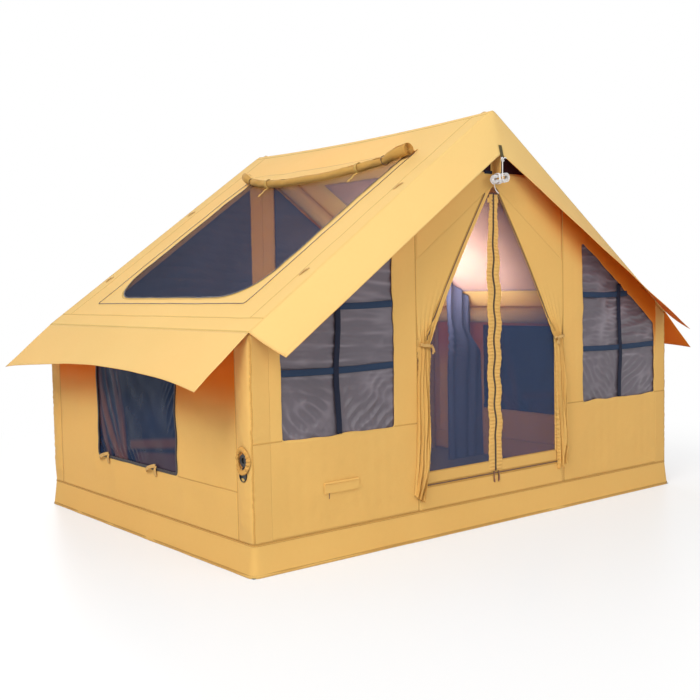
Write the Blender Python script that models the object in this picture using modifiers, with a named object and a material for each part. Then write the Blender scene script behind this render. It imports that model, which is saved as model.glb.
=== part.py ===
"""An inflatable ridge tent, pitched, in metres.

X runs across the gables, Y from the front gable to the rear one and Z up. The origin is on the ground
under the middle of the tent. Eleven air beams carry it: four posts, four rafters, a ridge beam and two
eave beams. The cloth is drawn as thin solid panels, one for each sewn piece, hung just outside the beams.
A side is -1 on the left and +1 on the right, and an end is -1 at the front and +1 at the rear.
"""

import math

import bmesh
import bpy
import numpy as np
from mathutils import Matrix, Vector
from mathutils.geometry import interpolate_bezier

# Tent, over the outer faces of its canvas
HALF_WIDTH = 1.5
DEPTH = 2.1
EAVE_HEIGHT = 1.05
RIDGE_HEIGHT = 2.12
CANVAS = 0.003
FILM = 0.0015
FILM_LAP = 0.012
GAP = 0.0003

# Air beams
BEAM_RADIUS = 0.055
BEAM_WALL = 0.002
BEAM_SIDES = 20

# Skirt and floor
SKIRT_HEIGHT = 0.141
SKIRT_FLARE = 0.017
FLOOR_CLEARANCE = 0.001

# Skylights, and their covers: the left one is rolled up, the right one zipped shut
SKYLIGHT_WIDTH = 1.40
SKYLIGHT_BELOW_RIDGE = 0.35
SKYLIGHT_ABOVE_EAVE = 0.263
SKYLIGHT_ROUND = 0.24
COVER_LAP = 0.06
ROLL_BELOW_RIDGE = 0.37
ROLL_SAG = 0.155
ROLL_SAG_POWER = 2.6
ROLL_RADIUS = 0.024
ROLL_END_RADIUS = 0.036
ROLL_STATIONS = 20
ROLL_SIDES = 14
ROLL_LIP_SHARE = 0.22

# The curtain that divides the cabin, drawn aside to the right wall
INNER_CURTAIN_Y = 0.45
INNER_CURTAIN_WIDTH = 0.38

# Eave flaps
FLAP_OUT = 0.27
FLAP_DROP = 0.23
FLAP_HEM_RISE = 0.07
FLAP_HEM_POINTS = 13

# Awning bands along the gable rakes
AWNING_APEX_OUT = 0.057
AWNING_APEX_DROP = 0.23
AWNING_TIP_OUT = 0.20
AWNING_TIP_INSET = 0.05
AWNING_TIP_DROP = 0.10
AWNING_STATIONS = 9

# Side windows
SIDE_WINDOW_WIDTH = 0.84
SIDE_WINDOW_BOTTOM = 0.365
SIDE_WINDOW_BELOW_EAVE = 0.12
WINDOW_ROUND = 0.025

# Front and rear windows, whose tops follow the roof
FRONT_WINDOW_FROM_DOOR = 0.16
FRONT_WINDOW_FROM_CORNER = 0.14
FRONT_WINDOW_BOTTOM = 0.57
FRONT_WINDOW_BELOW_ROOF = 0.15
REAR_WINDOW_FROM_MIDDLE = 0.11
REAR_WINDOW_FROM_CORNER = 0.25
REAR_WINDOW_BELOW_ROOF = 0.15

# Webbing across the front windows
WEBBING_WIDTH = 0.032
WEBBING_THICKNESS = 0.0015
WEBBING_FROM_CORNER = 0.46
WEBBING_HEIGHT_SHARES = (0.448, 0.904)

# Doorway, gores and gable vent
DOOR_WIDTH = 1.08
SILL_HEIGHT = 0.265
GORE_HEIGHT = 0.39
VENT_BELOW_ROOF = 0.14
VENT_HEIGHT = 0.18
VENT_FROM_MIDDLE = 0.015

# Mesh door leaves, hinged on the doorway's upright edges
LEAF_LAP = 0.010
LEAF_THICKNESS = 0.003
LEAF_APEX_DROP = 0.03
LEAF_SPLIT = 0.0005

# Canvas door curtains, tied back
TIE_HEIGHT = 0.945
TIE_WIDTH = 0.05
CURTAIN_APEX_WIDTH = 0.010
BUNDLE_MIDDLE_HEIGHT = 0.60
BUNDLE_OUTER_FOOT = 0.235
BUNDLE_INNER_FOOT = 0.185
BUNDLE_SPREAD = 0.035
BUNDLE_REACH = 0.045
BUNDLE_FOOT_REACH = 0.038
TIE_FOLD = 0.018
BUNDLE_FOLD = 0.027
FOOT_FOLD = 0.032
CURTAIN_FOLDS = 3
CURTAIN_COLUMNS = 12
CURTAIN_ROWS = 6

# Zip sliders
SLIDER_WIDTH = 0.009
SLIDER_DEPTH = 0.0035
SLIDER_LENGTH = 0.012
SLIDER_BEVEL = 0.0006
PULL_WIDTH = 0.005
PULL_THICKNESS = 0.0016
PULL_LENGTH = 0.050
DOOR_SLIDER_BELOW_APEX = 0.072
SILL_SLIDER_SPREAD = 0.016

# Cable port flap on the left front wall
PORT_WIDTH = 0.20
PORT_HEIGHT = 0.05
PORT_FROM_CORNER = 0.48
PORT_TOP = 0.36
PORT_FLAP = 0.003
PORT_ARC_POINTS = 11
PORT_SLIDER_FROM_EDGE = 0.03
PORT_SLIDER_BELOW_TOP = 0.027

# Air valve on the left front post
VALVE_HEIGHT = 0.50
SLIT_WIDTH = 0.08
SLIT_HEIGHT = 0.10
SLIT_ROUND = 0.030
VALVE_FLANGE_RADIUS = 0.028
VALVE_FLANGE_PROUD = 0.0045
VALVE_BARREL_RADIUS = 0.018
VALVE_BARREL_CLEARANCE = 0.0005
VALVE_BARREL_LENGTH = 0.022
VALVE_BORE_RADIUS = 0.013
VALVE_WEB = 0.004
PLUNGER_RADIUS = 0.0118
PLUNGER_HEAD = 0.004
PLUNGER_INSET = 0.002
PLUNGER_STEM_RADIUS = 0.004
PLUNGER_STEM_LENGTH = 0.020
PLUNGER_STEM_CLEARANCE = 0.0008
CAP_RADIUS = 0.026
CAP_BEHIND_AXIS = 0.006
CAP_AHEAD_OF_AXIS = 0.0025
CAP_WALL = 0.0025
CAP_STRAP_WIDTH = 0.008
CAP_STRAP_THICKNESS = 0.003
CAP_KNUCKLE_RADIUS = 0.0025
CAP_HINGE_DROP = 0.005
VALVE_EAR_WIDTH = 0.012
TURNED_STEPS = 24

# Webbing tab at the awning's peak, and the guy rope that hangs from it in a hank
TAB_WIDTH = 0.020
TAB_LENGTH = 0.062
TAB_THICKNESS = 0.0025
TAB_BELOW_HEM = 0.020
ROPE_RADIUS = 0.0025
HANK_DROP = 0.105
HANK_LAYERS = 4
HANK_LOOPS_A_LAYER = 2
HANK_POINTS_A_LOOP = 24
HANK_PITCH = 0.0077
HANK_LAYER_STEP = 0.0060
HANK_HALF_LENGTH = 0.066
HANK_HALF_HEIGHT = 0.0235
HANK_WAIST = -0.012
HANK_WAIST_REACH = 0.018
HANK_WAIST_SHARE = 0.24
HANK_TAPER_SHARE = 0.05
HANK_TILT_DEGREES = 10
HANK_FIRST_POINT = 5
HANK_LAST_POINT = 181
RUN_FROM_MIDDLE = 0.004
RUN_AHEAD = 0.0085
RUN_FOOT = 0.012
RUN_POINTS = 7
LEAD_HANDLE = 0.030
LEAD_JOIN = 0.016
LEAD_JOIN_AHEAD = 0.010
LEAD_JOIN_BELOW = 0.004
LEAD_POINTS = 9
WRAP_TURNS = 2
WRAP_POINTS_A_TURN = 16
WRAP_START_DEGREES = 25
WRAP_CLEARANCE = 0.0066
WRAP_TOP_CLEARANCE = 0.0078
WRAP_START = 0.0064
WRAP_STEP = 0.0064
WRAP_SQUARENESS_SHARE = 0.45
LINK_HANDLE = 0.016
LINK_BEHIND = 0.004
LINK_JOIN = 0.014
LINK_JOIN_BESIDE = 0.002
LINK_JOIN_BEHIND = 0.001
LINK_POINTS = 6
TAIL_HANDLE = 0.030
TAIL_BEND = (-0.022, 0.016, -0.062)
TAIL_END = (0.0, 0.006, -0.074)
TAIL_POINTS = 9

# Outlines and shading
ARC_STEPS = 6
ROUND_DEGREES = 40
FOLD_DEGREES = 75

# Worked out from the sizes above
SLOPE = (RIDGE_HEIGHT - EAVE_HEIGHT) / HALF_WIDTH
ROOF_COS = 1 / math.hypot(1, SLOPE)
ROOF_SIN = SLOPE * ROOF_COS
ROOF_LENGTH = HALF_WIDTH / ROOF_COS
INNER_FACE = CANVAS + GAP
BEAM_INSET = INNER_FACE + BEAM_RADIUS
POST_Y = DEPTH / 2 - BEAM_INSET
CORNER_X = HALF_WIDTH - BEAM_INSET
CORNER_Z = EAVE_HEIGHT + BEAM_INSET * SLOPE - BEAM_INSET / ROOF_COS
APEX_Z = RIDGE_HEIGHT - BEAM_INSET / ROOF_COS
DOOR_HALF = DOOR_WIDTH / 2
DOOR_APEX = RIDGE_HEIGHT - GORE_HEIGHT
LEAF_HINGE_X = DOOR_HALF + LEAF_LAP
LEAF_HINGE_Y = -(DEPTH / 2 - INNER_FACE - LEAF_THICKNESS / 2)

CANVAS_WALL = ("canvas_wall", (0.70, 0.43, 0.14), 0.80)
CANVAS_ROOF = ("canvas_roof", (0.78, 0.55, 0.22), 0.80)
BEAM_SKIN = ("beam_skin", (0.62, 0.40, 0.15), 0.60)
INNER_CLOTH = ("inner_cloth", (0.06, 0.08, 0.17), 0.75)
DARK_FILM = ("dark_film", (0.045, 0.05, 0.09), 0.15)
GREY_FILM = ("grey_film", (0.20, 0.18, 0.20), 0.30)
DOOR_MESH = ("door_mesh", (0.09, 0.08, 0.12), 0.55)
NAVY_WEBBING = ("navy_webbing", (0.012, 0.016, 0.030), 0.75)
OLIVE_WEBBING = ("olive_webbing", (0.08, 0.06, 0.02), 0.80)
BLACK_PLASTIC = ("black_plastic", (0.02, 0.02, 0.02), 0.40)
BROWN_PLASTIC = ("brown_plastic", (0.20, 0.09, 0.04), 0.45)
FLOOR_SHEET = ("floor_sheet", (0.16, 0.16, 0.15), 0.60)
WHITE_ROPE = ("white_rope", (0.80, 0.78, 0.78), 0.70)


def clear_scene():
    for old in list(bpy.data.objects):
        bpy.data.objects.remove(old, do_unlink=True)


def new_collection(name):
    collection = bpy.data.collections.new(name)
    bpy.context.scene.collection.children.link(collection)
    return collection


def painted(name, finish):
    """A material of the object's own, from a finish of name, colour and roughness."""
    kind, colour, roughness = finish
    material = bpy.data.materials.new(f"{name}_{kind}")
    material.use_nodes = True
    shader = material.node_tree.nodes["Principled BSDF"]
    shader.inputs["Base Color"].default_value = (*colour, 1)
    shader.inputs["Roughness"].default_value = roughness
    shader.inputs["Metallic"].default_value = 0
    return material


def add_piece(name, data, finish):
    piece = bpy.data.objects.new(name, data)
    data.materials.append(painted(name, finish))
    TENT.objects.link(piece)
    return piece


def add_cutter(name, data):
    cutter = bpy.data.objects.new(name, data)
    cutter.hide_render = True
    cutter.display_type = "WIRE"
    CUTTERS.objects.link(cutter)
    return cutter


def mesh_of(name, shape):
    """The mesh data of a bmesh, with its faces turned outwards."""
    bmesh.ops.recalc_face_normals(shape, faces=shape.faces[:])
    if shape.calc_volume(signed=True) < 0:
        bmesh.ops.reverse_faces(shape, faces=shape.faces[:])
    data = bpy.data.meshes.new(name)
    shape.to_mesh(data)
    shape.free()
    return data


def combine(piece, other, operation):
    change = piece.modifiers.new(other.name, "BOOLEAN")
    change.operation = operation
    change.solver = "EXACT"
    change.object = other


def smooth(piece, degrees=ROUND_DEGREES):
    piece.data.shade_smooth()
    piece.data.set_sharp_from_angle(angle=math.radians(degrees))


def block_data(name, low, high):
    """A box between two opposite corners."""
    middle = [(a + b) / 2 for a, b in zip(low, high)]
    sizes = [b - a for a, b in zip(low, high)]
    shape = bmesh.new()
    place = Matrix.Translation(middle) @ Matrix.Diagonal((*sizes, 1))
    bmesh.ops.create_cube(shape, size=1, matrix=place)
    return mesh_of(name, shape)


def rounded(corners, radii):
    """The outline with each corner turned into an arc of its own radius, where that isn't zero."""
    points = []
    for i, corner in enumerate(corners):
        if radii[i] == 0:
            points.append(corner)
            continue
        before = (corners[i - 1] - corner).normalized()
        after = (corners[(i + 1) % len(corners)] - corner).normalized()
        half = before.angle(after) / 2
        centre = corner + (before + after).normalized() * radii[i] / math.sin(half)
        start = corner + before * radii[i] / math.tan(half) - centre
        end = corner + after * radii[i] / math.tan(half) - centre
        sweep = start.angle(end)
        for step in range(ARC_STEPS + 1):
            done = sweep * step / ARC_STEPS
            mixed = start * math.sin(sweep - done) + end * math.sin(done)
            points.append(centre + mixed / math.sin(sweep))
    return points


def plate(name, outline, normal, thickness, finish, holes=()):
    """A flat panel: its outer face holds the outline, and its thickness goes inwards."""
    normal = Vector(normal).normalized()
    across = Vector((0, 0, 1)).cross(normal)
    if across.length == 0:
        across = Vector((1, 0, 0))
    across.normalize()
    along = normal.cross(across)
    origin = outline[0]
    curve = bpy.data.curves.new(name, "CURVE")
    curve.dimensions = "2D"
    curve.fill_mode = "BOTH"
    curve.extrude = thickness / 2
    for loop in (outline, *holes):
        spline = curve.splines.new("POLY")
        spline.points.add(len(loop) - 1)
        for point, corner in zip(spline.points, loop):
            step = corner - origin
            point.co = (step.dot(across), step.dot(along), 0, 1)
        spline.use_cyclic_u = True
    panel = add_piece(name, curve, finish)
    turn = Matrix((across, along, normal)).transposed().to_4x4()
    panel.matrix_world = Matrix.Translation(origin - normal * thickness / 2) @ turn
    return panel


def loft(name, rings, finish):
    """A closed solid through rings of equal, even count, whose end caps are strips across the ring.

    Each ring runs along one face and back along the other, and both faces split along the same diagonals.
    """
    shape = bmesh.new()
    rows = [[shape.verts.new(point) for point in ring] for ring in rings]
    count = len(rows[0])
    for near, far in zip(rows, rows[1:]):
        for i in range(count):
            corners = [near[i - 1], near[i], far[i], far[i - 1]]
            if not 0 < i < count // 2:
                corners = corners[1:] + corners[:1]
            shape.faces.new(corners[:3])
            shape.faces.new((corners[0], corners[2], corners[3]))
    for row in (rows[0], rows[-1]):
        for i in range(count // 2 - 1):
            shape.faces.new((row[i], row[i + 1], row[-2 - i], row[-1 - i]))
    return add_piece(name, mesh_of(name, shape), finish)


def rod_data(name, start, end, radius):
    """A closed cylinder between two points."""
    axis = end - start
    turn = axis.to_track_quat("Z", "Y").to_matrix().to_4x4()
    place = Matrix.Translation((start + end) / 2) @ turn
    shape = bmesh.new()
    bmesh.ops.create_cone(
        shape,
        cap_ends=True,
        segments=TURNED_STEPS,
        radius1=radius,
        radius2=radius,
        depth=axis.length,
        matrix=place,
    )
    return mesh_of(name, shape)


def turned(name, profile, centre, finish):
    """A profile of (radius, outward) pairs spun about a line that leaves the left wall, along -X."""
    shape = bmesh.new()
    points = [shape.verts.new((radius, 0, outward)) for radius, outward in profile]
    for near, far in zip(points, points[1:]):
        shape.edges.new((near, far))
    if profile[0][0] > 0:
        shape.edges.new((points[-1], points[0]))
    data = bpy.data.meshes.new(name)
    shape.to_mesh(data)
    shape.free()
    piece = add_piece(name, data, finish)
    piece.matrix_world = Matrix.Translation(centre) @ Matrix.Rotation(-math.pi / 2, 4, "Y")
    screw = piece.modifiers.new("turn", "SCREW")
    screw.steps = TURNED_STEPS
    screw.render_steps = TURNED_STEPS
    screw.use_merge_vertices = True
    screw.merge_threshold = GAP / 6
    return piece


def roof_line(x):
    """Height of the roof's outer face above x."""
    return RIDGE_HEIGHT - abs(x) * SLOPE


def under_roof(x):
    """Height at which a gable panel stops, just under the roof panel."""
    return roof_line(x) - CANVAS / ROOF_COS - GAP


def roof_point(side, y, down, out=0.0):
    """The point so far down the slope from the ridge, and so far out from the roof's outer face."""
    x = side * (down * ROOF_COS + out * ROOF_SIN)
    return Vector((x, y, RIDGE_HEIGHT - down * ROOF_SIN + out * ROOF_COS))


def roof_normal(side):
    return (side * ROOF_SIN, 0, ROOF_COS)


def side_point(side, y, z, depth=0.0):
    return Vector((side * (HALF_WIDTH - depth), y, z))


def gable_point(end, x, z, depth=0.0):
    return Vector((x, end * (DEPTH / 2 - depth), z))


def air_beam(name, start, end, start_cut, end_cut, closed_foot=False):
    """A hollow air tube, each end trimmed by the plane through it that faces along its cut."""
    axis = end - start
    base = Matrix.Translation(start) @ axis.to_track_quat("Z", "Y").to_matrix().to_4x4()
    overrun = 2 * BEAM_RADIUS
    shape = bmesh.new()
    for radius, floor in ((BEAM_RADIUS, 0), (BEAM_RADIUS - BEAM_WALL, BEAM_WALL)):
        low = floor if closed_foot else -overrun
        high = axis.length + overrun
        bmesh.ops.create_cone(
            shape,
            cap_ends=closed_foot,
            segments=BEAM_SIDES,
            radius1=radius,
            radius2=radius,
            depth=high - low,
            matrix=base @ Matrix.Translation((0, 0, (low + high) / 2)),
        )
    trims = [(end, Vector(end_cut).normalized())]
    if not closed_foot:
        trims.append((start, Vector(start_cut).normalized()))
    for point, cut in trims:
        found = bmesh.ops.bisect_plane(
            shape,
            geom=shape.verts[:] + shape.edges[:] + shape.faces[:],
            plane_co=point - cut * GAP / 2,
            plane_no=cut,
            clear_outer=True,
        )
        rim = [edge for edge in found["geom_cut"] if isinstance(edge, bmesh.types.BMEdge)]
        bmesh.ops.triangle_fill(shape, edges=rim, normal=cut)
    beam = add_piece(name, mesh_of(name, shape), BEAM_SKIN)
    smooth(beam)
    return beam


def build_beams():
    """Posts and rafters meet in mitres, and the eave and ridge beams end square against them."""
    posts = {}
    for end, end_name in ((-1, "front"), (1, "rear")):
        for side, side_name in ((-1, "left"), (1, "right")):
            corner = Vector((side * CORNER_X, end * POST_Y, CORNER_Z))
            apex = Vector((0, end * POST_Y, APEX_Z))
            foot = Vector((side * CORNER_X, end * POST_Y, INNER_FACE))
            bend = (apex - corner).normalized() + Vector((0, 0, 1))
            name = f"post_beam_{end_name}_{side_name}"
            posts[name] = air_beam(name, foot, corner, None, bend, closed_foot=True)
            name = f"rafter_beam_{end_name}_{side_name}"
            air_beam(name, corner, apex, -bend, (-side, 0, 0))
    reach = POST_Y - BEAM_RADIUS - GAP / 2
    along = Vector((0, 1, 0))
    for side, side_name in ((-1, "left"), (1, "right")):
        start = Vector((side * CORNER_X, -reach, CORNER_Z))
        finish = Vector((side * CORNER_X, reach, CORNER_Z))
        air_beam(f"eave_beam_{side_name}", start, finish, -along, along)
    air_beam("ridge_beam", Vector((0, -reach, APEX_Z)), Vector((0, reach, APEX_Z)), -along, along)
    return posts


def build_floor_and_skirts():
    """A flat groundsheet inside four skirt strips that flare towards the ground and mitre at the corners."""
    half_x = HALF_WIDTH + SKIRT_FLARE - CANVAS - FLOOR_CLEARANCE
    half_y = DEPTH / 2 + SKIRT_FLARE - CANVAS - FLOOR_CLEARANCE
    corners = [(-half_x, -half_y), (-half_x, half_y), (half_x, half_y), (half_x, -half_y)]
    outline = [Vector((x, y, 0)) for x, y in corners]
    plate("groundsheet", outline, (0, 0, -1), CANVAS, FLOOR_SHEET)
    section = (
        (0, SKIRT_HEIGHT),
        (SKIRT_FLARE, 0),
        (SKIRT_FLARE - CANVAS, 0),
        (-CANVAS, SKIRT_HEIGHT),
    )
    for side, side_name in ((-1, "left"), (1, "right")):
        rings = []
        for end in (-1, 1):
            ring = [side_point(side, end * (DEPTH / 2 + out - GAP), z, -out) for out, z in section]
            rings.append(ring)
        loft(f"skirt_{side_name}", rings, CANVAS_WALL)
    for end, end_name in ((-1, "front"), (1, "rear")):
        rings = []
        for side in (-1, 1):
            ring = [gable_point(end, side * (HALF_WIDTH + out - GAP), z, -out) for out, z in section]
            rings.append(ring)
        loft(f"skirt_{end_name}", rings, CANVAS_WALL)


def side_window(side, depth, lap):
    half = SIDE_WINDOW_WIDTH / 2 + lap
    low = SIDE_WINDOW_BOTTOM - lap
    high = EAVE_HEIGHT - SIDE_WINDOW_BELOW_EAVE + lap
    corners = [(-half, low), (half, low), (half, high), (-half, high)]
    return rounded([side_point(side, y, z, depth) for y, z in corners], [WINDOW_ROUND] * 4)


def valve_slit(side):
    """The slit in the beam sleeve that shows the valve."""
    half_y = SLIT_WIDTH / 2
    half_z = SLIT_HEIGHT / 2
    corners = [(-half_y, -half_z), (half_y, -half_z), (half_y, half_z), (-half_y, half_z)]
    points = [side_point(side, y - POST_Y, z + VALVE_HEIGHT) for y, z in corners]
    return rounded(points, [SLIT_ROUND] * 4)


def build_side_walls():
    top = EAVE_HEIGHT - 2 * CANVAS
    for side, side_name in ((-1, "left"), (1, "right")):
        corners = [
            (-DEPTH / 2, SKIRT_HEIGHT + GAP),
            (DEPTH / 2, SKIRT_HEIGHT + GAP),
            (DEPTH / 2, top),
            (-DEPTH / 2, top),
        ]
        outline = [side_point(side, y, z) for y, z in corners]
        holes = [side_window(side, 0, 0)]
        if side < 0:
            holes.append(valve_slit(side))
        plate(f"side_wall_{side_name}", outline, (side, 0, 0), CANVAS, CANVAS_WALL, holes)
        pane = side_window(side, INNER_FACE, FILM_LAP)
        plate(f"side_window_film_{side_name}", pane, (side, 0, 0), FILM, DARK_FILM)


def sloped_window(end, side, inner, outer, below_roof, depth, lap):
    """A gable window: upright sides, a level sill and a top edge that follows the roof."""
    low = FRONT_WINDOW_BOTTOM - lap
    inner = inner - lap
    outer = outer + lap
    raised = lap / ROOF_COS - below_roof
    corners = [
        (inner, low),
        (outer, low),
        (outer, roof_line(outer) + raised),
        (inner, roof_line(inner) + raised),
    ]
    points = [gable_point(end, side * x, z, depth) for x, z in corners]
    return rounded(points, [WINDOW_ROUND] * 4)


def front_window(side, depth, lap):
    inner = DOOR_HALF + FRONT_WINDOW_FROM_DOOR
    outer = HALF_WIDTH - FRONT_WINDOW_FROM_CORNER
    return sloped_window(-1, side, inner, outer, FRONT_WINDOW_BELOW_ROOF, depth, lap)


def rear_window(side, depth, lap):
    outer = HALF_WIDTH - REAR_WINDOW_FROM_CORNER
    return sloped_window(1, side, REAR_WINDOW_FROM_MIDDLE, outer, REAR_WINDOW_BELOW_ROOF, depth, lap)


def webbing_outline(side):
    """One upright strap and a cross strap at each height, in one outline."""
    middle = HALF_WIDTH - WEBBING_FROM_CORNER
    half = WEBBING_WIDTH / 2
    inner = DOOR_HALF + FRONT_WINDOW_FROM_DOOR + GAP
    outer = HALF_WIDTH - FRONT_WINDOW_FROM_CORNER - GAP
    fall = GAP / ROOF_COS

    def top(x):
        return roof_line(x) - FRONT_WINDOW_BELOW_ROOF - fall

    def reach(z):
        """How far out a level edge runs before the window's sloping top stops it."""
        return min(outer, (RIDGE_HEIGHT - FRONT_WINDOW_BELOW_ROOF - fall - z) / SLOPE)

    low = FRONT_WINDOW_BOTTOM + GAP
    heights = [low + share * (top(middle) - low) for share in WEBBING_HEIGHT_SHARES]
    points = [(middle - half, low), (middle + half, low)]
    for z in heights:
        points += [(middle + half, z - half), (reach(z - half), z - half)]
        points += [(reach(z + half), z + half), (middle + half, z + half)]
    points += [(middle + half, top(middle + half)), (middle - half, top(middle - half))]
    for z in reversed(heights):
        points += [(middle - half, z + half), (inner, z + half)]
        points += [(inner, z - half), (middle - half, z - half)]
    depth = (CANVAS - WEBBING_THICKNESS) / 2
    return [gable_point(-1, side * x, z, depth) for x, z in points]


def vent_triangle(side):
    """The opening in one gore, under the rafter."""
    base = RIDGE_HEIGHT - VENT_BELOW_ROOF - VENT_HEIGHT
    tip = VENT_HEIGHT / SLOPE
    peak = roof_line(VENT_FROM_MIDDLE) - VENT_BELOW_ROOF
    corners = [(VENT_FROM_MIDDLE, base), (tip, base), (VENT_FROM_MIDDLE, peak)]
    return [gable_point(-1, side * x, z) for x, z in corners]


def build_front():
    """The front gable: a wall each side of the doorway, a sill under it and a pair of gores over it."""
    outward = (0, -1, 0)
    seam = DOOR_HALF + GAP / 2
    outer = HALF_WIDTH - INNER_FACE
    bottom = SKIRT_HEIGHT + GAP
    for side, side_name in ((-1, "left"), (1, "right")):
        corners = [(seam, bottom), (outer, bottom), (outer, under_roof(outer)), (seam, under_roof(seam))]
        outline = [gable_point(-1, side * x, z) for x, z in corners]
        holes = [front_window(side, 0, 0)]
        plate(f"front_wall_{side_name}", outline, outward, CANVAS, CANVAS_WALL, holes)
        pane = front_window(side, INNER_FACE, FILM_LAP)
        plate(f"front_window_film_{side_name}", pane, outward, FILM, GREY_FILM)
        straps = webbing_outline(side)
        plate(f"front_window_webbing_{side_name}", straps, outward, WEBBING_THICKNESS, NAVY_WEBBING)
        middle = GAP / 2
        edge = seam - GAP
        corners = [
            (middle, DOOR_APEX - middle * SLOPE),
            (edge, DOOR_APEX - edge * SLOPE),
            (edge, under_roof(edge)),
            (middle, under_roof(middle)),
        ]
        outline = [gable_point(-1, side * x, z) for x, z in corners]
        holes = [vent_triangle(side)]
        plate(f"front_gore_{side_name}", outline, outward, CANVAS, CANVAS_WALL, holes)
    edge = DOOR_HALF - GAP / 2
    corners = [(-edge, bottom), (edge, bottom), (edge, SILL_HEIGHT), (-edge, SILL_HEIGHT)]
    outline = [gable_point(-1, x, z) for x, z in corners]
    plate("front_sill_panel", outline, outward, CANVAS, CANVAS_WALL)
    base = RIDGE_HEIGHT - VENT_BELOW_ROOF - VENT_HEIGHT - FILM_LAP
    peak = RIDGE_HEIGHT - VENT_BELOW_ROOF
    tip = VENT_HEIGHT / SLOPE + FILM_LAP
    outline = [gable_point(-1, x, z, INNER_FACE) for x, z in ((-tip, base), (tip, base), (0, peak))]
    plate("gable_vent_mesh", outline, outward, FILM, DOOR_MESH)


def build_rear():
    outer = HALF_WIDTH - INNER_FACE
    bottom = SKIRT_HEIGHT + GAP
    corners = [
        (-outer, bottom),
        (outer, bottom),
        (outer, under_roof(outer)),
        (0, under_roof(0)),
        (-outer, under_roof(outer)),
    ]
    outline = [gable_point(1, x, z) for x, z in corners]
    holes = [rear_window(side, 0, 0) for side in (-1, 1)]
    plate("rear_wall", outline, (0, 1, 0), CANVAS, CANVAS_WALL, holes)
    for side, side_name in ((-1, "left"), (1, "right")):
        pane = rear_window(side, INNER_FACE, FILM_LAP)
        plate(f"rear_window_film_{side_name}", pane, (0, 1, 0), FILM, GREY_FILM)


def skylight(side, out, lap, foot_round=SKYLIGHT_ROUND):
    half = SKYLIGHT_WIDTH / 2 + lap
    high = SKYLIGHT_BELOW_RIDGE - lap
    low = ROOF_LENGTH - SKYLIGHT_ABOVE_EAVE + lap
    corners = [(-half, high), (half, high), (half, low), (-half, low)]
    points = [roof_point(side, y, down, out) for y, down in corners]
    return rounded(points, [WINDOW_ROUND, WINDOW_ROUND, foot_round, foot_round])


def cover_roll(side):
    """The rolled cover: a spiral section that sags down the slope between its ends."""
    half = SKYLIGHT_WIDTH / 2 + COVER_LAP
    rings = []
    for station in range(ROLL_STATIONS + 1):
        y = half * (2 * station / ROLL_STATIONS - 1)
        along = abs(y / half)
        down = ROLL_BELOW_RIDGE + ROLL_SAG * (1 - along**ROLL_SAG_POWER)
        radius = ROLL_RADIUS + (ROLL_END_RADIUS - ROLL_RADIUS) * along**3
        section = []
        for i in range(ROLL_SIDES):
            turn = 2 * math.pi * i / ROLL_SIDES
            reach = radius * (1 - ROLL_LIP_SHARE * i / ROLL_SIDES)
            section.append((reach * math.cos(turn), reach * math.sin(turn)))
        lift = GAP - min(out for _, out in section)
        rings.append([roof_point(side, y, down + a, out + lift) for a, out in section])
    return rings


def build_roof():
    start = CANVAS * ROOF_SIN / ROOF_COS + GAP / ROOF_COS
    for side, side_name in ((-1, "left"), (1, "right")):
        corners = [
            (-DEPTH / 2, start),
            (DEPTH / 2, start),
            (DEPTH / 2, ROOF_LENGTH),
            (-DEPTH / 2, ROOF_LENGTH),
        ]
        outline = [roof_point(side, y, down) for y, down in corners]
        holes = [skylight(side, 0, 0)]
        plate(f"roof_panel_{side_name}", outline, roof_normal(side), CANVAS, CANVAS_ROOF, holes)
        pane = skylight(side, -INNER_FACE, FILM_LAP)
        plate(f"skylight_film_{side_name}", pane, roof_normal(side), FILM, DARK_FILM)
    roll = loft("skylight_cover_roll_left", cover_roll(-1), CANVAS_ROOF)
    smooth(roll)
    outline = skylight(1, CANVAS + GAP, COVER_LAP, foot_round=WINDOW_ROUND)
    plate("skylight_cover_right", outline, roof_normal(1), CANVAS, CANVAS_ROOF)


def build_inner_curtain():
    """A curtain that hangs from the right slope to the floor, cut out round the eave beam."""
    inner = HALF_WIDTH - INNER_CURTAIN_WIDTH
    outer = HALF_WIDTH - INNER_FACE
    beside_beam = CORNER_X - BEAM_RADIUS - GAP
    under_beam = CORNER_Z - BEAM_RADIUS - GAP
    drop = (INNER_FACE + FILM + GAP) / ROOF_COS
    corners = [
        (inner, INNER_FACE),
        (outer, INNER_FACE),
        (outer, under_beam),
        (beside_beam, under_beam),
        (beside_beam, roof_line(beside_beam) - drop),
        (inner, roof_line(inner) - drop),
    ]
    outline = [Vector((x, INNER_CURTAIN_Y, z)) for x, z in corners]
    plate("inner_curtain", outline, (0, -1, 0), CANVAS, INNER_CLOTH)


def build_eave_flaps():
    """Flat flaps past the eaves, whose hems rise between the tips."""
    tip = math.hypot(FLAP_OUT, FLAP_DROP)
    rise = FLAP_HEM_RISE * tip / FLAP_DROP
    for side, side_name in ((-1, "left"), (1, "right")):
        root = Vector((side * (HALF_WIDTH + CANVAS), 0, EAVE_HEIGHT - CANVAS * SLOPE))
        down = Vector((side * FLAP_OUT, 0, -FLAP_DROP)).normalized()
        hem = []
        for i in range(FLAP_HEM_POINTS):
            share = 2 * i / (FLAP_HEM_POINTS - 1) - 1
            hem.append((share * DEPTH / 2, tip - rise * (1 - share**2)))
        corners = [(DEPTH / 2, 0), (-DEPTH / 2, 0)] + hem
        outline = [root + down * drop + Vector((0, y, 0)) for y, drop in corners]
        normal = (side * FLAP_DROP, 0, FLAP_OUT)
        plate(f"eave_flap_{side_name}", outline, normal, CANVAS, CANVAS_ROOF)


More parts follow.
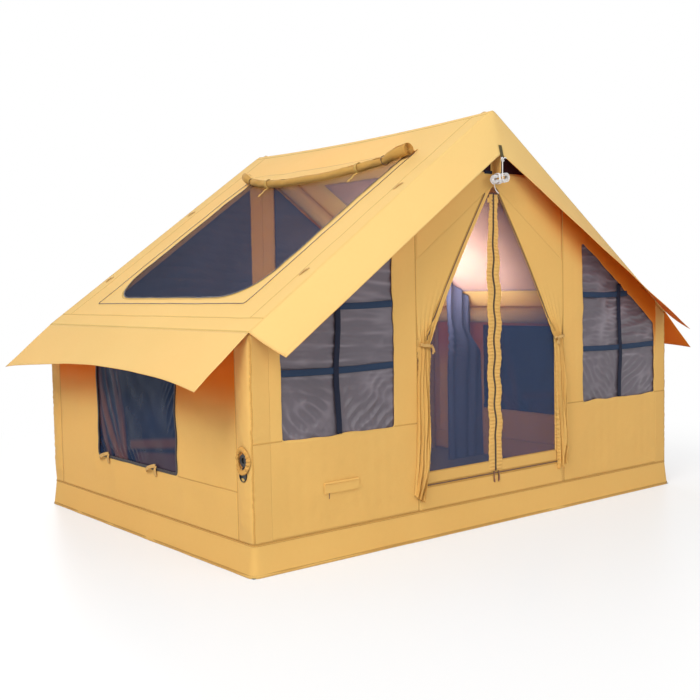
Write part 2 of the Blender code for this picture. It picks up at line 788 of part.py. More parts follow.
def awning_rails(end, side, share):
    """The awning's points on the rake and on the hem, at a share of the way from peak to tip."""
    rake_x = GAP / 2 + share * (HALF_WIDTH - GAP / 2)
    rake = Vector((side * rake_x, end * (DEPTH / 2 + GAP), roof_line(rake_x)))
    hem_x = GAP / 2 + share * (HALF_WIDTH - AWNING_TIP_INSET - GAP / 2)
    out = AWNING_APEX_OUT + share * (AWNING_TIP_OUT - AWNING_APEX_OUT)
    peak_z = RIDGE_HEIGHT - AWNING_APEX_DROP
    tip_z = EAVE_HEIGHT - AWNING_TIP_DROP
    hem = Vector((side * hem_x, end * (DEPTH / 2 + out), peak_z + share * (tip_z - peak_z)))
    return rake, hem


def build_awnings():
    """A band along each rake, steep at the peak and flatter towards the eave."""
    for end, end_name in ((-1, "front"), (1, "rear")):
        proud = Vector((0, end, 1)).normalized() * CANVAS
        for side, side_name in ((-1, "left"), (1, "right")):
            rings = []
            for station in range(AWNING_STATIONS):
                rake, hem = awning_rails(end, side, station / (AWNING_STATIONS - 1))
                rings.append([rake, hem, hem + proud, rake + proud])
            loft(f"awning_{end_name}_{side_name}", rings, CANVAS_ROOF)


def build_leaves():
    """Mesh door leaves behind the gores and walls, each with its origin on its hinge line."""
    leaves = {}
    low = SILL_HEIGHT - LEAF_LAP
    lapped_apex = DOOR_APEX + LEAF_LAP / ROOF_COS
    high = DOOR_APEX - LEAF_APEX_DROP
    shoulder = (lapped_apex - high) / SLOPE
    for side, side_name in ((-1, "left"), (1, "right")):
        corners = [
            (LEAF_HINGE_X, low),
            (LEAF_SPLIT, low),
            (LEAF_SPLIT, high),
            (shoulder, high),
            (LEAF_HINGE_X, lapped_apex - LEAF_HINGE_X * SLOPE),
        ]
        outline = [gable_point(-1, side * x, z, INNER_FACE) for x, z in corners]
        name = f"mesh_door_{side_name}"
        leaves[side] = plate(name, outline, (0, -1, 0), LEAF_THICKNESS, DOOR_MESH)
    return leaves


def curtain_rows(side):
    """The tied-back curtain: pleats that run from the door's top edge, through the tie, to the foot."""
    seam = DOOR_HALF
    hem_at_tie = seam - TIE_WIDTH
    stations = (
        ((seam, DOOR_APEX - seam * SLOPE), (CURTAIN_APEX_WIDTH / 2, DOOR_APEX), 0),
        ((seam, TIE_HEIGHT), (hem_at_tie, TIE_HEIGHT), TIE_FOLD),
        (
            (seam + BUNDLE_SPREAD, BUNDLE_MIDDLE_HEIGHT),
            (seam - BUNDLE_REACH, BUNDLE_MIDDLE_HEIGHT),
            BUNDLE_FOLD,
        ),
        (
            (seam + BUNDLE_SPREAD, BUNDLE_OUTER_FOOT),
            (seam - BUNDLE_FOOT_REACH, BUNDLE_INNER_FOOT),
            FOOT_FOLD,
        ),
    )
    rings = []
    for near, far in zip(stations, stations[1:]):
        for row in range(CURTAIN_ROWS + 1):
            if row == 0 and rings:
                continue
            share = row / CURTAIN_ROWS
            eased = share if near is stations[0] else share * share * (3 - 2 * share)
            outer = Vector(near[0]).lerp(Vector(far[0]), share)
            hem = Vector(near[1]).lerp(Vector(far[1]), share)
            outer.x = near[0][0] + (far[0][0] - near[0][0]) * eased
            hem.x = near[1][0] + (far[1][0] - near[1][0]) * eased
            fold = near[2] + (far[2] - near[2]) * share**2
            back = []
            front = []
            for column in range(CURTAIN_COLUMNS + 1):
                across = column / CURTAIN_COLUMNS
                place = outer.lerp(hem, across)
                out = GAP + fold * (1 - math.cos(2 * math.pi * CURTAIN_FOLDS * across)) / 2
                back.append(gable_point(-1, side * place.x, place.y, -out))
                front.append(gable_point(-1, side * place.x, place.y, -out - CANVAS))
            rings.append(back + front[::-1])
    return rings


def build_curtains():
    for side, side_name in ((-1, "left"), (1, "right")):
        curtain = loft(f"door_curtain_{side_name}", curtain_rows(side), CANVAS_WALL)
        smooth(curtain, FOLD_DEGREES)


def zip_slider(name, place, finish):
    """A zip slider with its pull hanging down its front; place is the middle of its back face."""
    half = SLIDER_WIDTH / 2
    low = (-half, -SLIDER_DEPTH, -SLIDER_LENGTH / 2)
    high = (half, 0, SLIDER_LENGTH / 2)
    slider = add_piece(name, block_data(name, low, high), finish)
    slider.location = place
    near = -SLIDER_DEPTH / 2 - PULL_THICKNESS / 2
    low = (-PULL_WIDTH / 2, near, -PULL_LENGTH)
    high = (PULL_WIDTH / 2, near + PULL_THICKNESS, 0)
    pull = add_cutter(f"{name}_pull", block_data(f"{name}_pull", low, high))
    pull.parent = slider
    combine(slider, pull, "UNION")
    edges = slider.modifiers.new("edges", "BEVEL")
    edges.width = SLIDER_BEVEL
    edges.segments = 2
    edges.limit_method = "ANGLE"
    return slider


def build_sliders(leaves):
    front = -DEPTH / 2
    leaf_face = front + INNER_FACE - GAP
    split = -(LEAF_SPLIT + SLIDER_WIDTH / 2)
    place = Vector((split, leaf_face, DOOR_APEX - DOOR_SLIDER_BELOW_APEX))
    slider = zip_slider("door_zip_slider", place, BROWN_PLASTIC)
    bpy.context.view_layer.update()
    slider.parent = leaves[-1]
    slider.matrix_parent_inverse = leaves[-1].matrix_world.inverted()
    for side, side_name in ((-1, "left"), (1, "right")):
        place = Vector((side * SILL_SLIDER_SPREAD, front - GAP, SILL_HEIGHT))
        zip_slider(f"sill_zip_slider_{side_name}", place, BROWN_PLASTIC)


def build_cable_port():
    """A flap that hangs from a round bead over its zip, and the zip's slider behind it."""
    left = PORT_FROM_CORNER - PORT_WIDTH / 2 - HALF_WIDTH
    right = left + PORT_WIDTH
    half = PORT_FLAP / 2
    bead = SLIDER_DEPTH + GAP + half
    centre_y = -DEPTH / 2 - GAP - bead
    centre_z = PORT_TOP - bead
    start = math.acos(half / bead)
    section = [(-half, PORT_TOP - PORT_HEIGHT)]
    for i in range(PORT_ARC_POINTS + 1):
        turn = math.pi + start - (math.pi + 2 * start) * i / PORT_ARC_POINTS
        section.append((bead * math.cos(turn), centre_z + bead * math.sin(turn)))
    section.append((half, PORT_TOP - PORT_HEIGHT))
    rings = []
    for x in (left, right):
        rings.append([Vector((x, centre_y + y, z)) for y, z in section])
    loft("cable_port_flap", rings, CANVAS_WALL)
    place = Vector(
        (left + PORT_SLIDER_FROM_EDGE, -DEPTH / 2 - GAP, PORT_TOP - PORT_SLIDER_BELOW_TOP)
    )
    zip_slider("cable_port_zip_slider", place, BROWN_PLASTIC)


def build_valve(post):
    """A flanged valve through the left front post, its sprung plunger, and its cap on a strap hinge."""
    centre = Vector((-HALF_WIDTH, -POST_Y, VALVE_HEIGHT))
    seat = -INNER_FACE + GAP / 2
    hole = VALVE_BARREL_RADIUS + VALVE_BARREL_CLEARANCE
    inner = Vector((2 * VALVE_BARREL_LENGTH, 0, 0))
    outer = Vector((-BEAM_WALL, 0, 0))
    bore = add_cutter("valve_hole", rod_data("valve_hole", centre + outer, centre + inner, hole))
    combine(post, bore, "DIFFERENCE")
    stem_hole = PLUNGER_STEM_RADIUS + PLUNGER_STEM_CLEARANCE
    back = -VALVE_BARREL_LENGTH
    profile = [
        (VALVE_BORE_RADIUS, VALVE_FLANGE_PROUD),
        (VALVE_FLANGE_RADIUS, VALVE_FLANGE_PROUD),
        (VALVE_FLANGE_RADIUS, seat),
        (VALVE_BARREL_RADIUS, seat),
        (VALVE_BARREL_RADIUS, back),
        (stem_hole, back),
        (stem_hole, back + VALVE_WEB),
        (VALVE_BORE_RADIUS, back + VALVE_WEB),
    ]
    body = turned("valve_body", profile, centre, BLACK_PLASTIC)
    hinge_z = VALVE_HEIGHT - VALVE_FLANGE_RADIUS - CAP_HINGE_DROP
    half = VALVE_EAR_WIDTH / 2
    low = (centre.x - VALVE_FLANGE_PROUD + GAP, centre.y - half, hinge_z - CAP_KNUCKLE_RADIUS)
    ear_top = VALVE_HEIGHT - (VALVE_FLANGE_RADIUS + VALVE_BORE_RADIUS) / 2
    high = (centre.x + INNER_FACE - GAP, centre.y + half, ear_top)
    ear = add_cutter("valve_ear", block_data("valve_ear", low, high))
    combine(body, ear, "UNION")
    head = -PLUNGER_INSET - PLUNGER_HEAD
    profile = [
        (0, -PLUNGER_INSET),
        (PLUNGER_RADIUS, -PLUNGER_INSET),
        (PLUNGER_RADIUS, head),
        (PLUNGER_STEM_RADIUS, head),
        (PLUNGER_STEM_RADIUS, head - PLUNGER_STEM_LENGTH),
        (0, head - PLUNGER_STEM_LENGTH),
    ]
    turned("valve_plunger", profile, centre, BLACK_PLASTIC)
    build_cap(centre, hinge_z)


def build_cap(centre, hinge_z):
    """The cap as it hangs: a shallow cup that faces away from the wall and closes by half a turn."""
    hinge_out = VALVE_FLANGE_PROUD + GAP + CAP_KNUCKLE_RADIUS
    hang = VALVE_HEIGHT - hinge_z
    cap_centre = Vector((centre.x, centre.y, hinge_z - hang))
    back = hinge_out - CAP_BEHIND_AXIS
    front = hinge_out + CAP_AHEAD_OF_AXIS
    profile = [
        (0, back + CAP_WALL),
        (CAP_RADIUS - CAP_WALL, back + CAP_WALL),
        (CAP_RADIUS - CAP_WALL, front),
        (CAP_RADIUS, front),
        (CAP_RADIUS, back),
        (0, back),
    ]
    cap = turned("valve_cap", profile, cap_centre, BLACK_PLASTIC)
    half = CAP_STRAP_WIDTH / 2
    axis_x = centre.x - hinge_out
    low = (axis_x - CAP_STRAP_THICKNESS / 2, centre.y - half, cap_centre.z + CAP_RADIUS - CAP_WALL / 2)
    high = (axis_x + CAP_STRAP_THICKNESS / 2, centre.y + half, hinge_z)
    strap = add_cutter("cap_strap", block_data("cap_strap", low, high))
    combine(cap, strap, "UNION")
    start = Vector((axis_x, centre.y - half - GAP, hinge_z))
    finish = Vector((axis_x, centre.y + half + GAP, hinge_z))
    knuckle = add_cutter("cap_knuckle", rod_data("cap_knuckle", start, finish, CAP_KNUCKLE_RADIUS))
    combine(cap, knuckle, "UNION")


def tab_ends():
    """The tab's upper and lower ends on the awning's outer fold, and the way it faces."""
    down = Vector((0, -AWNING_APEX_OUT, -AWNING_APEX_DROP)).normalized()
    outward = Vector((0, down.z, -down.y))
    proud = Vector((0, -1, 1)).normalized() * CANVAS
    hem = Vector((0, -DEPTH / 2 - AWNING_APEX_OUT, RIDGE_HEIGHT - AWNING_APEX_DROP))
    face = hem + outward * (proud.dot(outward) + 2 * GAP + TAB_THICKNESS)
    lower = face + down * TAB_BELOW_HEM
    return lower - down * TAB_LENGTH, lower, outward


def squared(value, power):
    return math.copysign(abs(value) ** power, value)


def hank_layer(count):
    """Layers climbed after so many loops, each climb spread over the half turn round its reversal."""
    climbed = 0
    for reversal in range(1, HANK_LAYERS):
        done = (count - reversal * HANK_LOOPS_A_LAYER) * 2 + 1 / 2
        climbed += min(1, max(0, done))
    return climbed


def hank_point(count):
    """A point of the piled loops: two straight runs and two round ends, drawn in at the waist."""
    phase = count % (2 * HANK_LOOPS_A_LAYER)
    inwards = HANK_PITCH * min(phase, 2 * HANK_LOOPS_A_LAYER - phase)
    radius = HANK_HALF_HEIGHT - inwards
    run = HANK_HALF_LENGTH - HANK_HALF_HEIGHT
    quarter, done = divmod(count % 1 * 4, 1)
    bend = math.pi * done
    if quarter == 0:
        x, z = run * (2 * done - 1), -radius
    elif quarter == 1:
        x, z = run + radius * math.sin(bend), -radius * math.cos(bend)
    elif quarter == 2:
        x, z = run * (1 - 2 * done), radius
    else:
        x, z = -run - radius * math.sin(bend), radius * math.cos(bend)
    waist = HANK_WAIST_SHARE * math.exp(-(((x - HANK_WAIST) / HANK_WAIST_REACH) ** 2))
    z *= (1 + HANK_TAPER_SHARE * x / HANK_HALF_LENGTH) * (1 - waist)
    y = HANK_LAYER_STEP * (hank_layer(count) - (HANK_LAYERS - 1) / 2)
    return Vector((x, y, z))


def wrap_point(step):
    """A point of the turns that bind the waist, over the back, under, up the front and over."""
    turns = step / WRAP_POINTS_A_TURN
    angle = math.radians(WRAP_START_DEGREES) - 2 * math.pi * turns
    half_y = (HANK_LAYERS - 1) / 2 * HANK_LAYER_STEP + WRAP_CLEARANCE
    half_z = HANK_HALF_HEIGHT * (1 - HANK_WAIST_SHARE) + WRAP_TOP_CLEARANCE
    x = HANK_WAIST + WRAP_START - WRAP_STEP * turns
    y = half_y * squared(math.cos(angle), WRAP_SQUARENESS_SHARE)
    z = half_z * squared(math.sin(angle), WRAP_SQUARENESS_SHARE)
    return Vector((x, y, z))


def between(start, start_handle, end_handle, end, count):
    return interpolate_bezier(start, start_handle, end_handle, end, count)[1:-1]


def rope_points():
    """The guy rope's centre line, as one run: down from the tab, round the hank, the binding, the tail."""
    tilt = Matrix.Rotation(-math.radians(HANK_TILT_DEGREES), 3, "Y")
    loops = []
    for i in range(HANK_FIRST_POINT, HANK_LAST_POINT + 1):
        loops.append(tilt @ hank_point(i / HANK_POINTS_A_LOOP))
    wrap = [tilt @ wrap_point(i) for i in range(WRAP_TURNS * WRAP_POINTS_A_TURN + 1)]
    run_y = -(HANK_LAYERS - 1) / 2 * HANK_LAYER_STEP - RUN_AHEAD
    run = []
    for i in range(RUN_POINTS):
        share = i / (RUN_POINTS - 1)
        run.append(Vector((RUN_FROM_MIDDLE, run_y, HANK_DROP + (RUN_FOOT - HANK_DROP) * share)))
    into_loops = (loops[1] - loops[0]).normalized()
    lead = between(
        run[-1],
        run[-1] - Vector((0, 0, LEAD_HANDLE)),
        loops[0] - into_loops * LEAD_JOIN - Vector((0, LEAD_JOIN_AHEAD, LEAD_JOIN_BELOW)),
        loops[0],
        LEAD_POINTS - 1,
    )
    out_of_loops = (loops[-1] - loops[-2]).normalized()
    into_wrap = (wrap[1] - wrap[0]).normalized()
    link = between(
        loops[-1],
        loops[-1] + out_of_loops * LINK_HANDLE + Vector((0, LINK_BEHIND, 0)),
        wrap[0] - into_wrap * LINK_JOIN + Vector((LINK_JOIN_BESIDE, LINK_JOIN_BEHIND, 0)),
        wrap[0],
        LINK_POINTS,
    )
    out_of_wrap = (wrap[-1] - wrap[-2]).normalized()
    end = Vector(TAIL_END)
    tail = between(wrap[-1], wrap[-1] + out_of_wrap * TAIL_HANDLE, Vector(TAIL_BEND), end, TAIL_POINTS - 1)
    return run + lead + loops + link + wrap + tail + [end]


def least_gap(points, radius):
    """The least clear space between stretches of a tube that are over three diameters apart along it."""
    line = np.array([tuple(point) for point in points])
    dense = np.concatenate([line[:-1] + (line[1:] - line[:-1]) * k / 4 for k in range(4)])
    order = np.concatenate([np.arange(len(line) - 1) + k / 4 for k in range(4)])
    dense = dense[np.argsort(order)]
    along = np.concatenate([[0], np.cumsum(np.linalg.norm(np.diff(dense, axis=0), axis=1))])
    apart = np.linalg.norm(dense[:, None] - dense[None], axis=2)
    near = np.abs(along[:, None] - along[None]) < 6 * radius
    return float(apart[~near].min() - 2 * radius), float(along[-1])


def build_peak():
    """The webbing tab at the awning's peak, and the guy rope under it."""
    upper, lower, outward = tab_ends()
    across = Vector((TAB_WIDTH / 2, 0, 0))
    outline = [upper - across, upper + across, lower + across, lower - across]
    plate("peak_tab", outline, outward, TAB_THICKNESS, OLIVE_WEBBING)
    points = rope_points()
    top = lower - outward * TAB_THICKNESS / 2
    hang = top - points[0] - Vector((0, 0, 2 * GAP))
    curve = bpy.data.curves.new("guy_rope_hank", "CURVE")
    curve.dimensions = "3D"
    curve.bevel_depth = ROPE_RADIUS
    curve.bevel_resolution = 1
    curve.use_fill_caps = True
    spline = curve.splines.new("POLY")
    spline.points.add(len(points) - 1)
    for knot, point in zip(spline.points, points):
        knot.co = (*(point + hang), 1)
    add_piece("guy_rope_hank", curve, WHITE_ROPE)
    gap, length = least_gap(points, ROPE_RADIUS)
    print(f"guy rope: {length:.3f} m, least gap to itself {gap * 1000:.2f} mm")


clear_scene()
TENT = new_collection("inflatable_tent")
CUTTERS = new_collection("cutters")
beam_posts = build_beams()
build_floor_and_skirts()
build_side_walls()
build_front()
build_rear()
build_roof()
build_inner_curtain()
build_eave_flaps()
build_awnings()
mesh_leaves = build_leaves()
build_curtains()
build_sliders(mesh_leaves)
build_cable_port()
build_valve(beam_posts["post_beam_front_left"])
build_peak()
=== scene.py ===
"""The finished look of the inflatable ridge tent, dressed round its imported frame.

X runs across the gables, Y from the front gable to the rear one and Z up, in metres. A side is -1 on the
left and +1 on the right, and an end is -1 at the front and +1 at the rear. Each cloth surface is a
function of two distances and of a height above the cloth, so its seams, zips and ties are laid on it.
"""

import math

import bpy
import numpy as np
from mathutils import Matrix, Vector


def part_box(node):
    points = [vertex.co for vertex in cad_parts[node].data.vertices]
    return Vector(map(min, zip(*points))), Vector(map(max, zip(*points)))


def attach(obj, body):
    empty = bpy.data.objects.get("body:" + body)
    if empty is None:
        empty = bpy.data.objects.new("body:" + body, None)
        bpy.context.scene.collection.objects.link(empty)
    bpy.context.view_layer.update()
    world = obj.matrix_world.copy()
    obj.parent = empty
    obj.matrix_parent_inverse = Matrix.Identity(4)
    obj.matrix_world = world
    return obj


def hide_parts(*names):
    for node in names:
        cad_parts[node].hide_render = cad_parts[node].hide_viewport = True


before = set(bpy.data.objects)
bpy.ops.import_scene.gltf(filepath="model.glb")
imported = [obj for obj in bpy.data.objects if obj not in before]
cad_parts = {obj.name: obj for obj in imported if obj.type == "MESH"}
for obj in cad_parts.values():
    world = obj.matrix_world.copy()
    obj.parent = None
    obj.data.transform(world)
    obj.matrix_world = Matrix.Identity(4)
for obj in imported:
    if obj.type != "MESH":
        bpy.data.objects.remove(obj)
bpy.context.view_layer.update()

# The tent, as in the part's source
HALF_WIDTH = 1.5
HALF_DEPTH = 1.05
EAVE_HEIGHT = 1.05
RIDGE_HEIGHT = 2.12
SKIRT_HEIGHT = 0.141
SKIRT_FLARE = 0.017
WALL_TOP = 1.043
UNDER_ROOF = 0.005
SLOPE = (RIDGE_HEIGHT - EAVE_HEIGHT) / HALF_WIDTH
ROOF_COS = 1 / math.hypot(1, SLOPE)
ROOF_SIN = SLOPE * ROOF_COS
ROOF_LENGTH = HALF_WIDTH / ROOF_COS
POST_Y = 0.9917

SIDES = ((-1, "left"), (1, "right"))
ENDS = ((-1, "front"), (1, "rear"))

# Cloth
CLOTH = 0.0015
RIDGE_ROUND = 0.008
CORNER_ROUND = 0.018
ROOF_SAG = 0.007
RIDGE_SAG = 0.020
THIN_CLOTH = 0.0010
TRIM_THICK = 0.0008
FILM_THICK = 0.0008
NET_THICK = 0.0006
KEEL_THICK = 0.0016

# Bands sewn on, how deep their backs are sunk, and where those on the walls start
SEAM_WIDTH = 0.006
SEAM_HEIGHT = 0.0008
HEM_WIDTH = 0.014
STRAP_WIDTH = 0.030
TAB_WIDTH = 0.018
SUNK = 0.0006
WALL_EDGE = SKIRT_HEIGHT + 0.004

# Heights of panes and nets over the cloth round them: all lie a little behind it
SKYLIGHT_OUT = -0.0035
SIDE_PANE_OUT = -0.0076
GABLE_PANE_OUT = -0.0085
VENT_OUT = -0.0036

# Openings, in the same outlines as the part's
SKYLIGHT_HALF = 0.70
SKYLIGHT_TOP = 0.35
SKYLIGHT_FOOT = 1.58
SIDE_WINDOW = ((-0.400, 0.362), (0.440, 0.362), (0.438, 0.93), (-0.402, 0.93))
SIDE_WINDOW_ROUND = (0.014, 0.014, 0.070, 0.070)
# Each front window's inner and outer edge, and the middles of its upright and its upper cross strap
FRONT_WINDOWS = {-1: (0.692, 1.340, 1.024, 1.153), 1: (0.713, 1.380, 1.045, 1.168)}
WINDOW_FOOT = 0.57
WINDOW_BELOW_ROOF = 0.15
PANE_FOOT = 0.556
PANE_BELOW_ROOF = 0.133
WINDOW_ROUND = 0.012
REAR_WINDOW = (0.11, 1.25)
SLEEVE_Y = 0.935
SLEEVE_X = 1.40
DOOR_HALF = 0.54
DOOR_APEX = 1.73
SILL_HEIGHT = 0.265
TIE_HEIGHT = 0.945


def roof_line(x):
    return RIDGE_HEIGHT - np.abs(x) * SLOPE


def ease(share):
    """0 up to 0, 1 from 1 on, and a smooth step between: 3s^2 - 2s^3."""
    s = np.clip(share, 0, 1)
    return s * s * (3 - 2 * s)


def ripple(a, b, seed, length, height, waves=9):
    """Slack in cloth: a sum of sine waves of about one length, in directions and phases drawn from a seed."""
    draw = np.random.default_rng(seed)
    total = 0.0
    for _ in range(waves):
        turn, phase = draw.uniform(0, 2 * math.pi, 2)
        reach = length * draw.uniform(0.6, 1.6)
        total = total + np.sin(2 * math.pi * (a * math.cos(turn) + b * math.sin(turn)) / reach + phase)
    return height * total / math.sqrt(waves)


def long_folds(a, b, seed, length, lean, height, spread=0.20, waves=4):
    """Long folds with sharp creases, across a lean from the first distance: 0.7 - |s| of a sum s of sines."""
    draw = np.random.default_rng(seed)
    total = 0.0
    for _ in range(waves):
        turn, phase = lean + draw.uniform(-spread, spread), draw.uniform(0, 2 * math.pi)
        reach = length * draw.uniform(0.7, 1.5)
        total = total + np.sin(2 * math.pi * (a * math.cos(turn) + b * math.sin(turn)) / reach + phase)
    return height * (0.7 - np.sqrt(total**2 / waves + 0.01))


def stacked(x, y, z):
    return np.stack(np.broadcast_arrays(x, y, z), -1).astype(float)


def unit(v):
    return v / np.maximum(np.linalg.norm(v, axis=-1, keepdims=True), 1e-12)


def both(a, b):
    """Two distances as arrays of one shape."""
    return np.broadcast_arrays(np.asarray(a, float), np.asarray(b, float))


# Meshes from grids


def grid(points, chart=None, wrap_rows=False, wrap_columns=False):
    """Quads over a grid of points, with a chart of cloth distances in metres at each corner."""
    rows, columns = points.shape[:2]
    index = np.arange(rows * columns).reshape(rows, columns)
    if wrap_rows:
        index = np.vstack([index, index[:1]])
    if wrap_columns:
        index = np.hstack([index, index[:, :1]])
    quads = np.stack([index[:-1, :-1], index[1:, :-1], index[1:, 1:], index[:-1, 1:]], -1).reshape(-1, 4)
    if chart is None:
        ring = points.reshape(-1, 3)[index]
        along = np.linalg.norm(np.diff(ring[:, index.shape[1] // 2], axis=0), axis=1)
        across = np.linalg.norm(np.diff(ring[index.shape[0] // 2], axis=0), axis=1)
        u = np.concatenate([[0], np.cumsum(along)])
        v = np.concatenate([[0], np.cumsum(across)])
        sheet = np.stack(np.meshgrid(u, v, indexing="ij"), -1)
    else:
        sheet = chart
        if wrap_rows:
            sheet = np.concatenate([sheet, sheet[:1]], 0)
        if wrap_columns:
            sheet = np.concatenate([sheet, sheet[:, :1]], 1)
    corners = np.stack([sheet[:-1, :-1], sheet[1:, :-1], sheet[1:, 1:], sheet[:-1, 1:]], 2).reshape(-1, 4, 2)
    return points.reshape(-1, 3), quads, corners


def turned(patch, facing=None):
    """The patch with its faces turned to look along facing or, if it is closed, outwards."""
    points, quads, chart = patch
    a, b, c, d = (points[quads[:, k]] for k in range(4))
    if facing is None:
        middle = points.mean(0)
        total = ((a - middle) * np.cross(b - middle, c - middle)).sum()
        total += ((a - middle) * np.cross(c - middle, d - middle)).sum()
    else:
        total = (np.cross(c - a, d - b) @ np.asarray(facing, float)).sum()
    if total < 0:
        return points, quads[:, ::-1], chart[:, ::-1]
    return patch


def capped(patch, rows, columns):
    """A tube's patch with its two end rings closed by strips of quads across them."""
    points, quads, chart = patch
    half = columns // 2
    i = np.arange(half - 1)
    strip = np.stack([i, i + 1, columns - 2 - i, columns - 1 - i], -1)
    ends = np.concatenate([strip, strip[:, ::-1] + (rows - 1) * columns])
    return points, np.concatenate([quads, ends]), np.concatenate([chart, np.zeros((len(ends), 4, 2))])


def sweep(path, normals, profile, closed=False, sizes=None):
    """A closed profile of (across, out) carried along a path, out standing along the normals."""
    if closed:
        tangent = unit(np.roll(path, -1, 0) - np.roll(path, 1, 0))
    else:
        tangent = unit(np.gradient(path, axis=0))
    across = unit(np.cross(tangent, normals))
    out = np.cross(across, tangent)
    profile = np.asarray(profile, float)
    size = np.ones((len(path), 1, 1)) if sizes is None else np.asarray(sizes).reshape(-1, 1, 1)
    points = path[:, None] + size * (across[:, None] * profile[:, :1] + out[:, None] * profile[:, 1:])
    steps = np.linalg.norm(np.diff(path, axis=0), axis=1)
    along = np.concatenate([[0], np.cumsum(steps)])
    chart = np.stack(np.meshgrid(along, profile[:, 0], indexing="ij"), -1)
    patch = grid(points, chart, wrap_rows=closed, wrap_columns=True)
    if not closed:
        patch = capped(patch, len(path), len(profile))
    return turned(patch)


def strap_profile(width, height, sunk=SUNK):
    """A flat band with eased edges, whose back is sunk a little into what it lies on."""
    w = width / 2
    e = min(height * 0.8, w / 3)
    return [(-w, -sunk), (-w, height * 0.5), (-w + e, height), (w - e, height), (w, height * 0.5), (w, -sunk)]


def band(at, path, width, height, closed=False, lift=0.0, sunk=SUNK):
    """A flat band on the surface at, along a path of its two distances, lifted above it."""
    path = np.asarray(path, float)
    ground = at(path[:, 0], path[:, 1], lift)
    above = at(path[:, 0], path[:, 1], lift + 0.002)
    return sweep(ground, unit(above - ground), strap_profile(width, height, sunk), closed)


def line(start, end, count=60):
    """Evenly spaced points between two points of a surface's distances."""
    share = np.linspace(0, 1, count)[:, None]
    return np.asarray(start, float) * (1 - share) + np.asarray(end, float) * share


def straight_seam(at, start, end, count):
    return band(at, line(start, end, count), SEAM_WIDTH, SEAM_HEIGHT)


def rectangle(left, right, low, high):
    return [(left, low), (right, low), (right, high), (left, high)]


def loop(corners, radii, per_side):
    """A closed outline with rounded corners, as per_side even points from each corner to the next."""
    corners = np.asarray(corners, float)
    count = len(corners)
    arcs = []
    for i in range(count):
        before = unit(corners[i - 1] - corners[i])
        after = unit(corners[(i + 1) % count] - corners[i])
        half = math.acos(float(np.clip(before @ after, -1, 1))) / 2
        radius = max(radii[i], 1e-6)
        centre = corners[i] + unit(before + after) * radius / math.sin(half)
        start = corners[i] + before * radius / math.tan(half) - centre
        end = corners[i] + after * radius / math.tan(half) - centre
        sweep_angle = math.acos(float(np.clip(unit(start) @ unit(end), -1, 1)))
        turn = np.linspace(0, sweep_angle, 17)[:, None]
        arc = (start * np.sin(sweep_angle - turn) + end * np.sin(turn)) / math.sin(sweep_angle)
        arcs.append(centre + arc)
    pieces = []
    for i in range(count):
        route = np.concatenate([arcs[i][8:], arcs[(i + 1) % count][:9]])
        pieces.append(spaced(route, per_side + 1)[:-1])
    return np.concatenate(pieces)


def wavy(outline, seed, height=0.0022, length=0.10):
    """The outline of a cloth edge, out of true by a few millimetres."""
    x, y = outline[:, 0], outline[:, 1]
    shift = [ripple(x, y, s, length, height) for s in (seed, seed + 1)]
    return outline + np.stack(shift, -1)


def spaced(route, count):
    """That many points at even distances along a route."""
    steps = np.linalg.norm(np.diff(route, axis=0), axis=1)
    along = np.concatenate([[0], np.cumsum(steps)])
    even = np.linspace(0, along[-1], count)
    return np.stack([np.interp(even, along, route[:, k]) for k in range(route.shape[1])], -1)


def panel(at, hole, edge, columns, facing):
    """Cloth between a window's outline and the panel's own edge: straight lines joining the two loops."""
    share = np.linspace(0, 1, columns)[None, :, None]
    flat = hole[:, None] * (1 - share) + edge[:, None] * share
    return turned(grid(at(flat[..., 0], flat[..., 1]), flat, wrap_rows=True), facing)


def sheet_patch(at, corners, rows, columns, facing, out=0.0):
    """A surface between four corners, in bilinear steps of its two distances."""
    u = np.linspace(0, 1, rows)[:, None, None]
    v = np.linspace(0, 1, columns)[None, :, None]
    p, q, r, s = (np.asarray(c, float) for c in corners)
    flat = (p * (1 - u) + q * u) * (1 - v) + (s * (1 - u) + r * u) * v
    return turned(grid(at(flat[..., 0], flat[..., 1], out), flat), facing)


def placed(name, data):
    """An object of the data, linked to the scene."""
    made = bpy.data.objects.new(name, data)
    bpy.context.scene.collection.objects.link(made)
    return made


def add(name, patches, finish, body="tent", thick=0.0, stands_for=(), painted_light_share=None):
    """One mesh object from patches, riding on a body; the share of painted light is one number a point, for
    its material.
    """
    if isinstance(patches, tuple):
        patches = [patches]
    points = np.concatenate([p[0] for p in patches])
    offsets = np.cumsum([0] + [len(p[0]) for p in patches[:-1]])
    quads = np.concatenate([p[1] + o for p, o in zip(patches, offsets)])
    chart = np.concatenate([p[2] for p in patches])
    mesh = bpy.data.meshes.new(name)
    mesh.vertices.add(len(points))
    mesh.vertices.foreach_set("co", points.astype(np.float32).ravel())
    mesh.loops.add(len(quads) * 4)
    mesh.loops.foreach_set("vertex_index", quads.astype(np.int32).ravel())
    mesh.polygons.add(len(quads))
    mesh.polygons.foreach_set("loop_start", np.arange(0, len(quads) * 4, 4, dtype=np.int32))
    mesh.update(calc_edges=True)
    mesh.uv_layers.new(name="cloth").uv.foreach_set("vector", chart.astype(np.float32).ravel())
    if painted_light_share is not None:
        painted_light_marks = mesh.attributes.new("painted_light_share", "FLOAT", "POINT")
        painted_light_marks.data.foreach_set("value", np.asarray(painted_light_share, np.float32).ravel())
    mesh.materials.append(finish)
    mesh.shade_smooth()
    piece = placed(name, mesh)
    if thick:
        wall = piece.modifiers.new("cloth", "SOLIDIFY")
        wall.thickness = thick
        wall.offset = -1
    if stands_for:
        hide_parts(*stands_for)
    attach(piece, body)
    return piece


# Materials


def blank(name):
    material = bpy.data.materials.new(name)
    material.use_nodes = True
    tree = material.node_tree
    return material, tree, tree.nodes["Principled BSDF"]


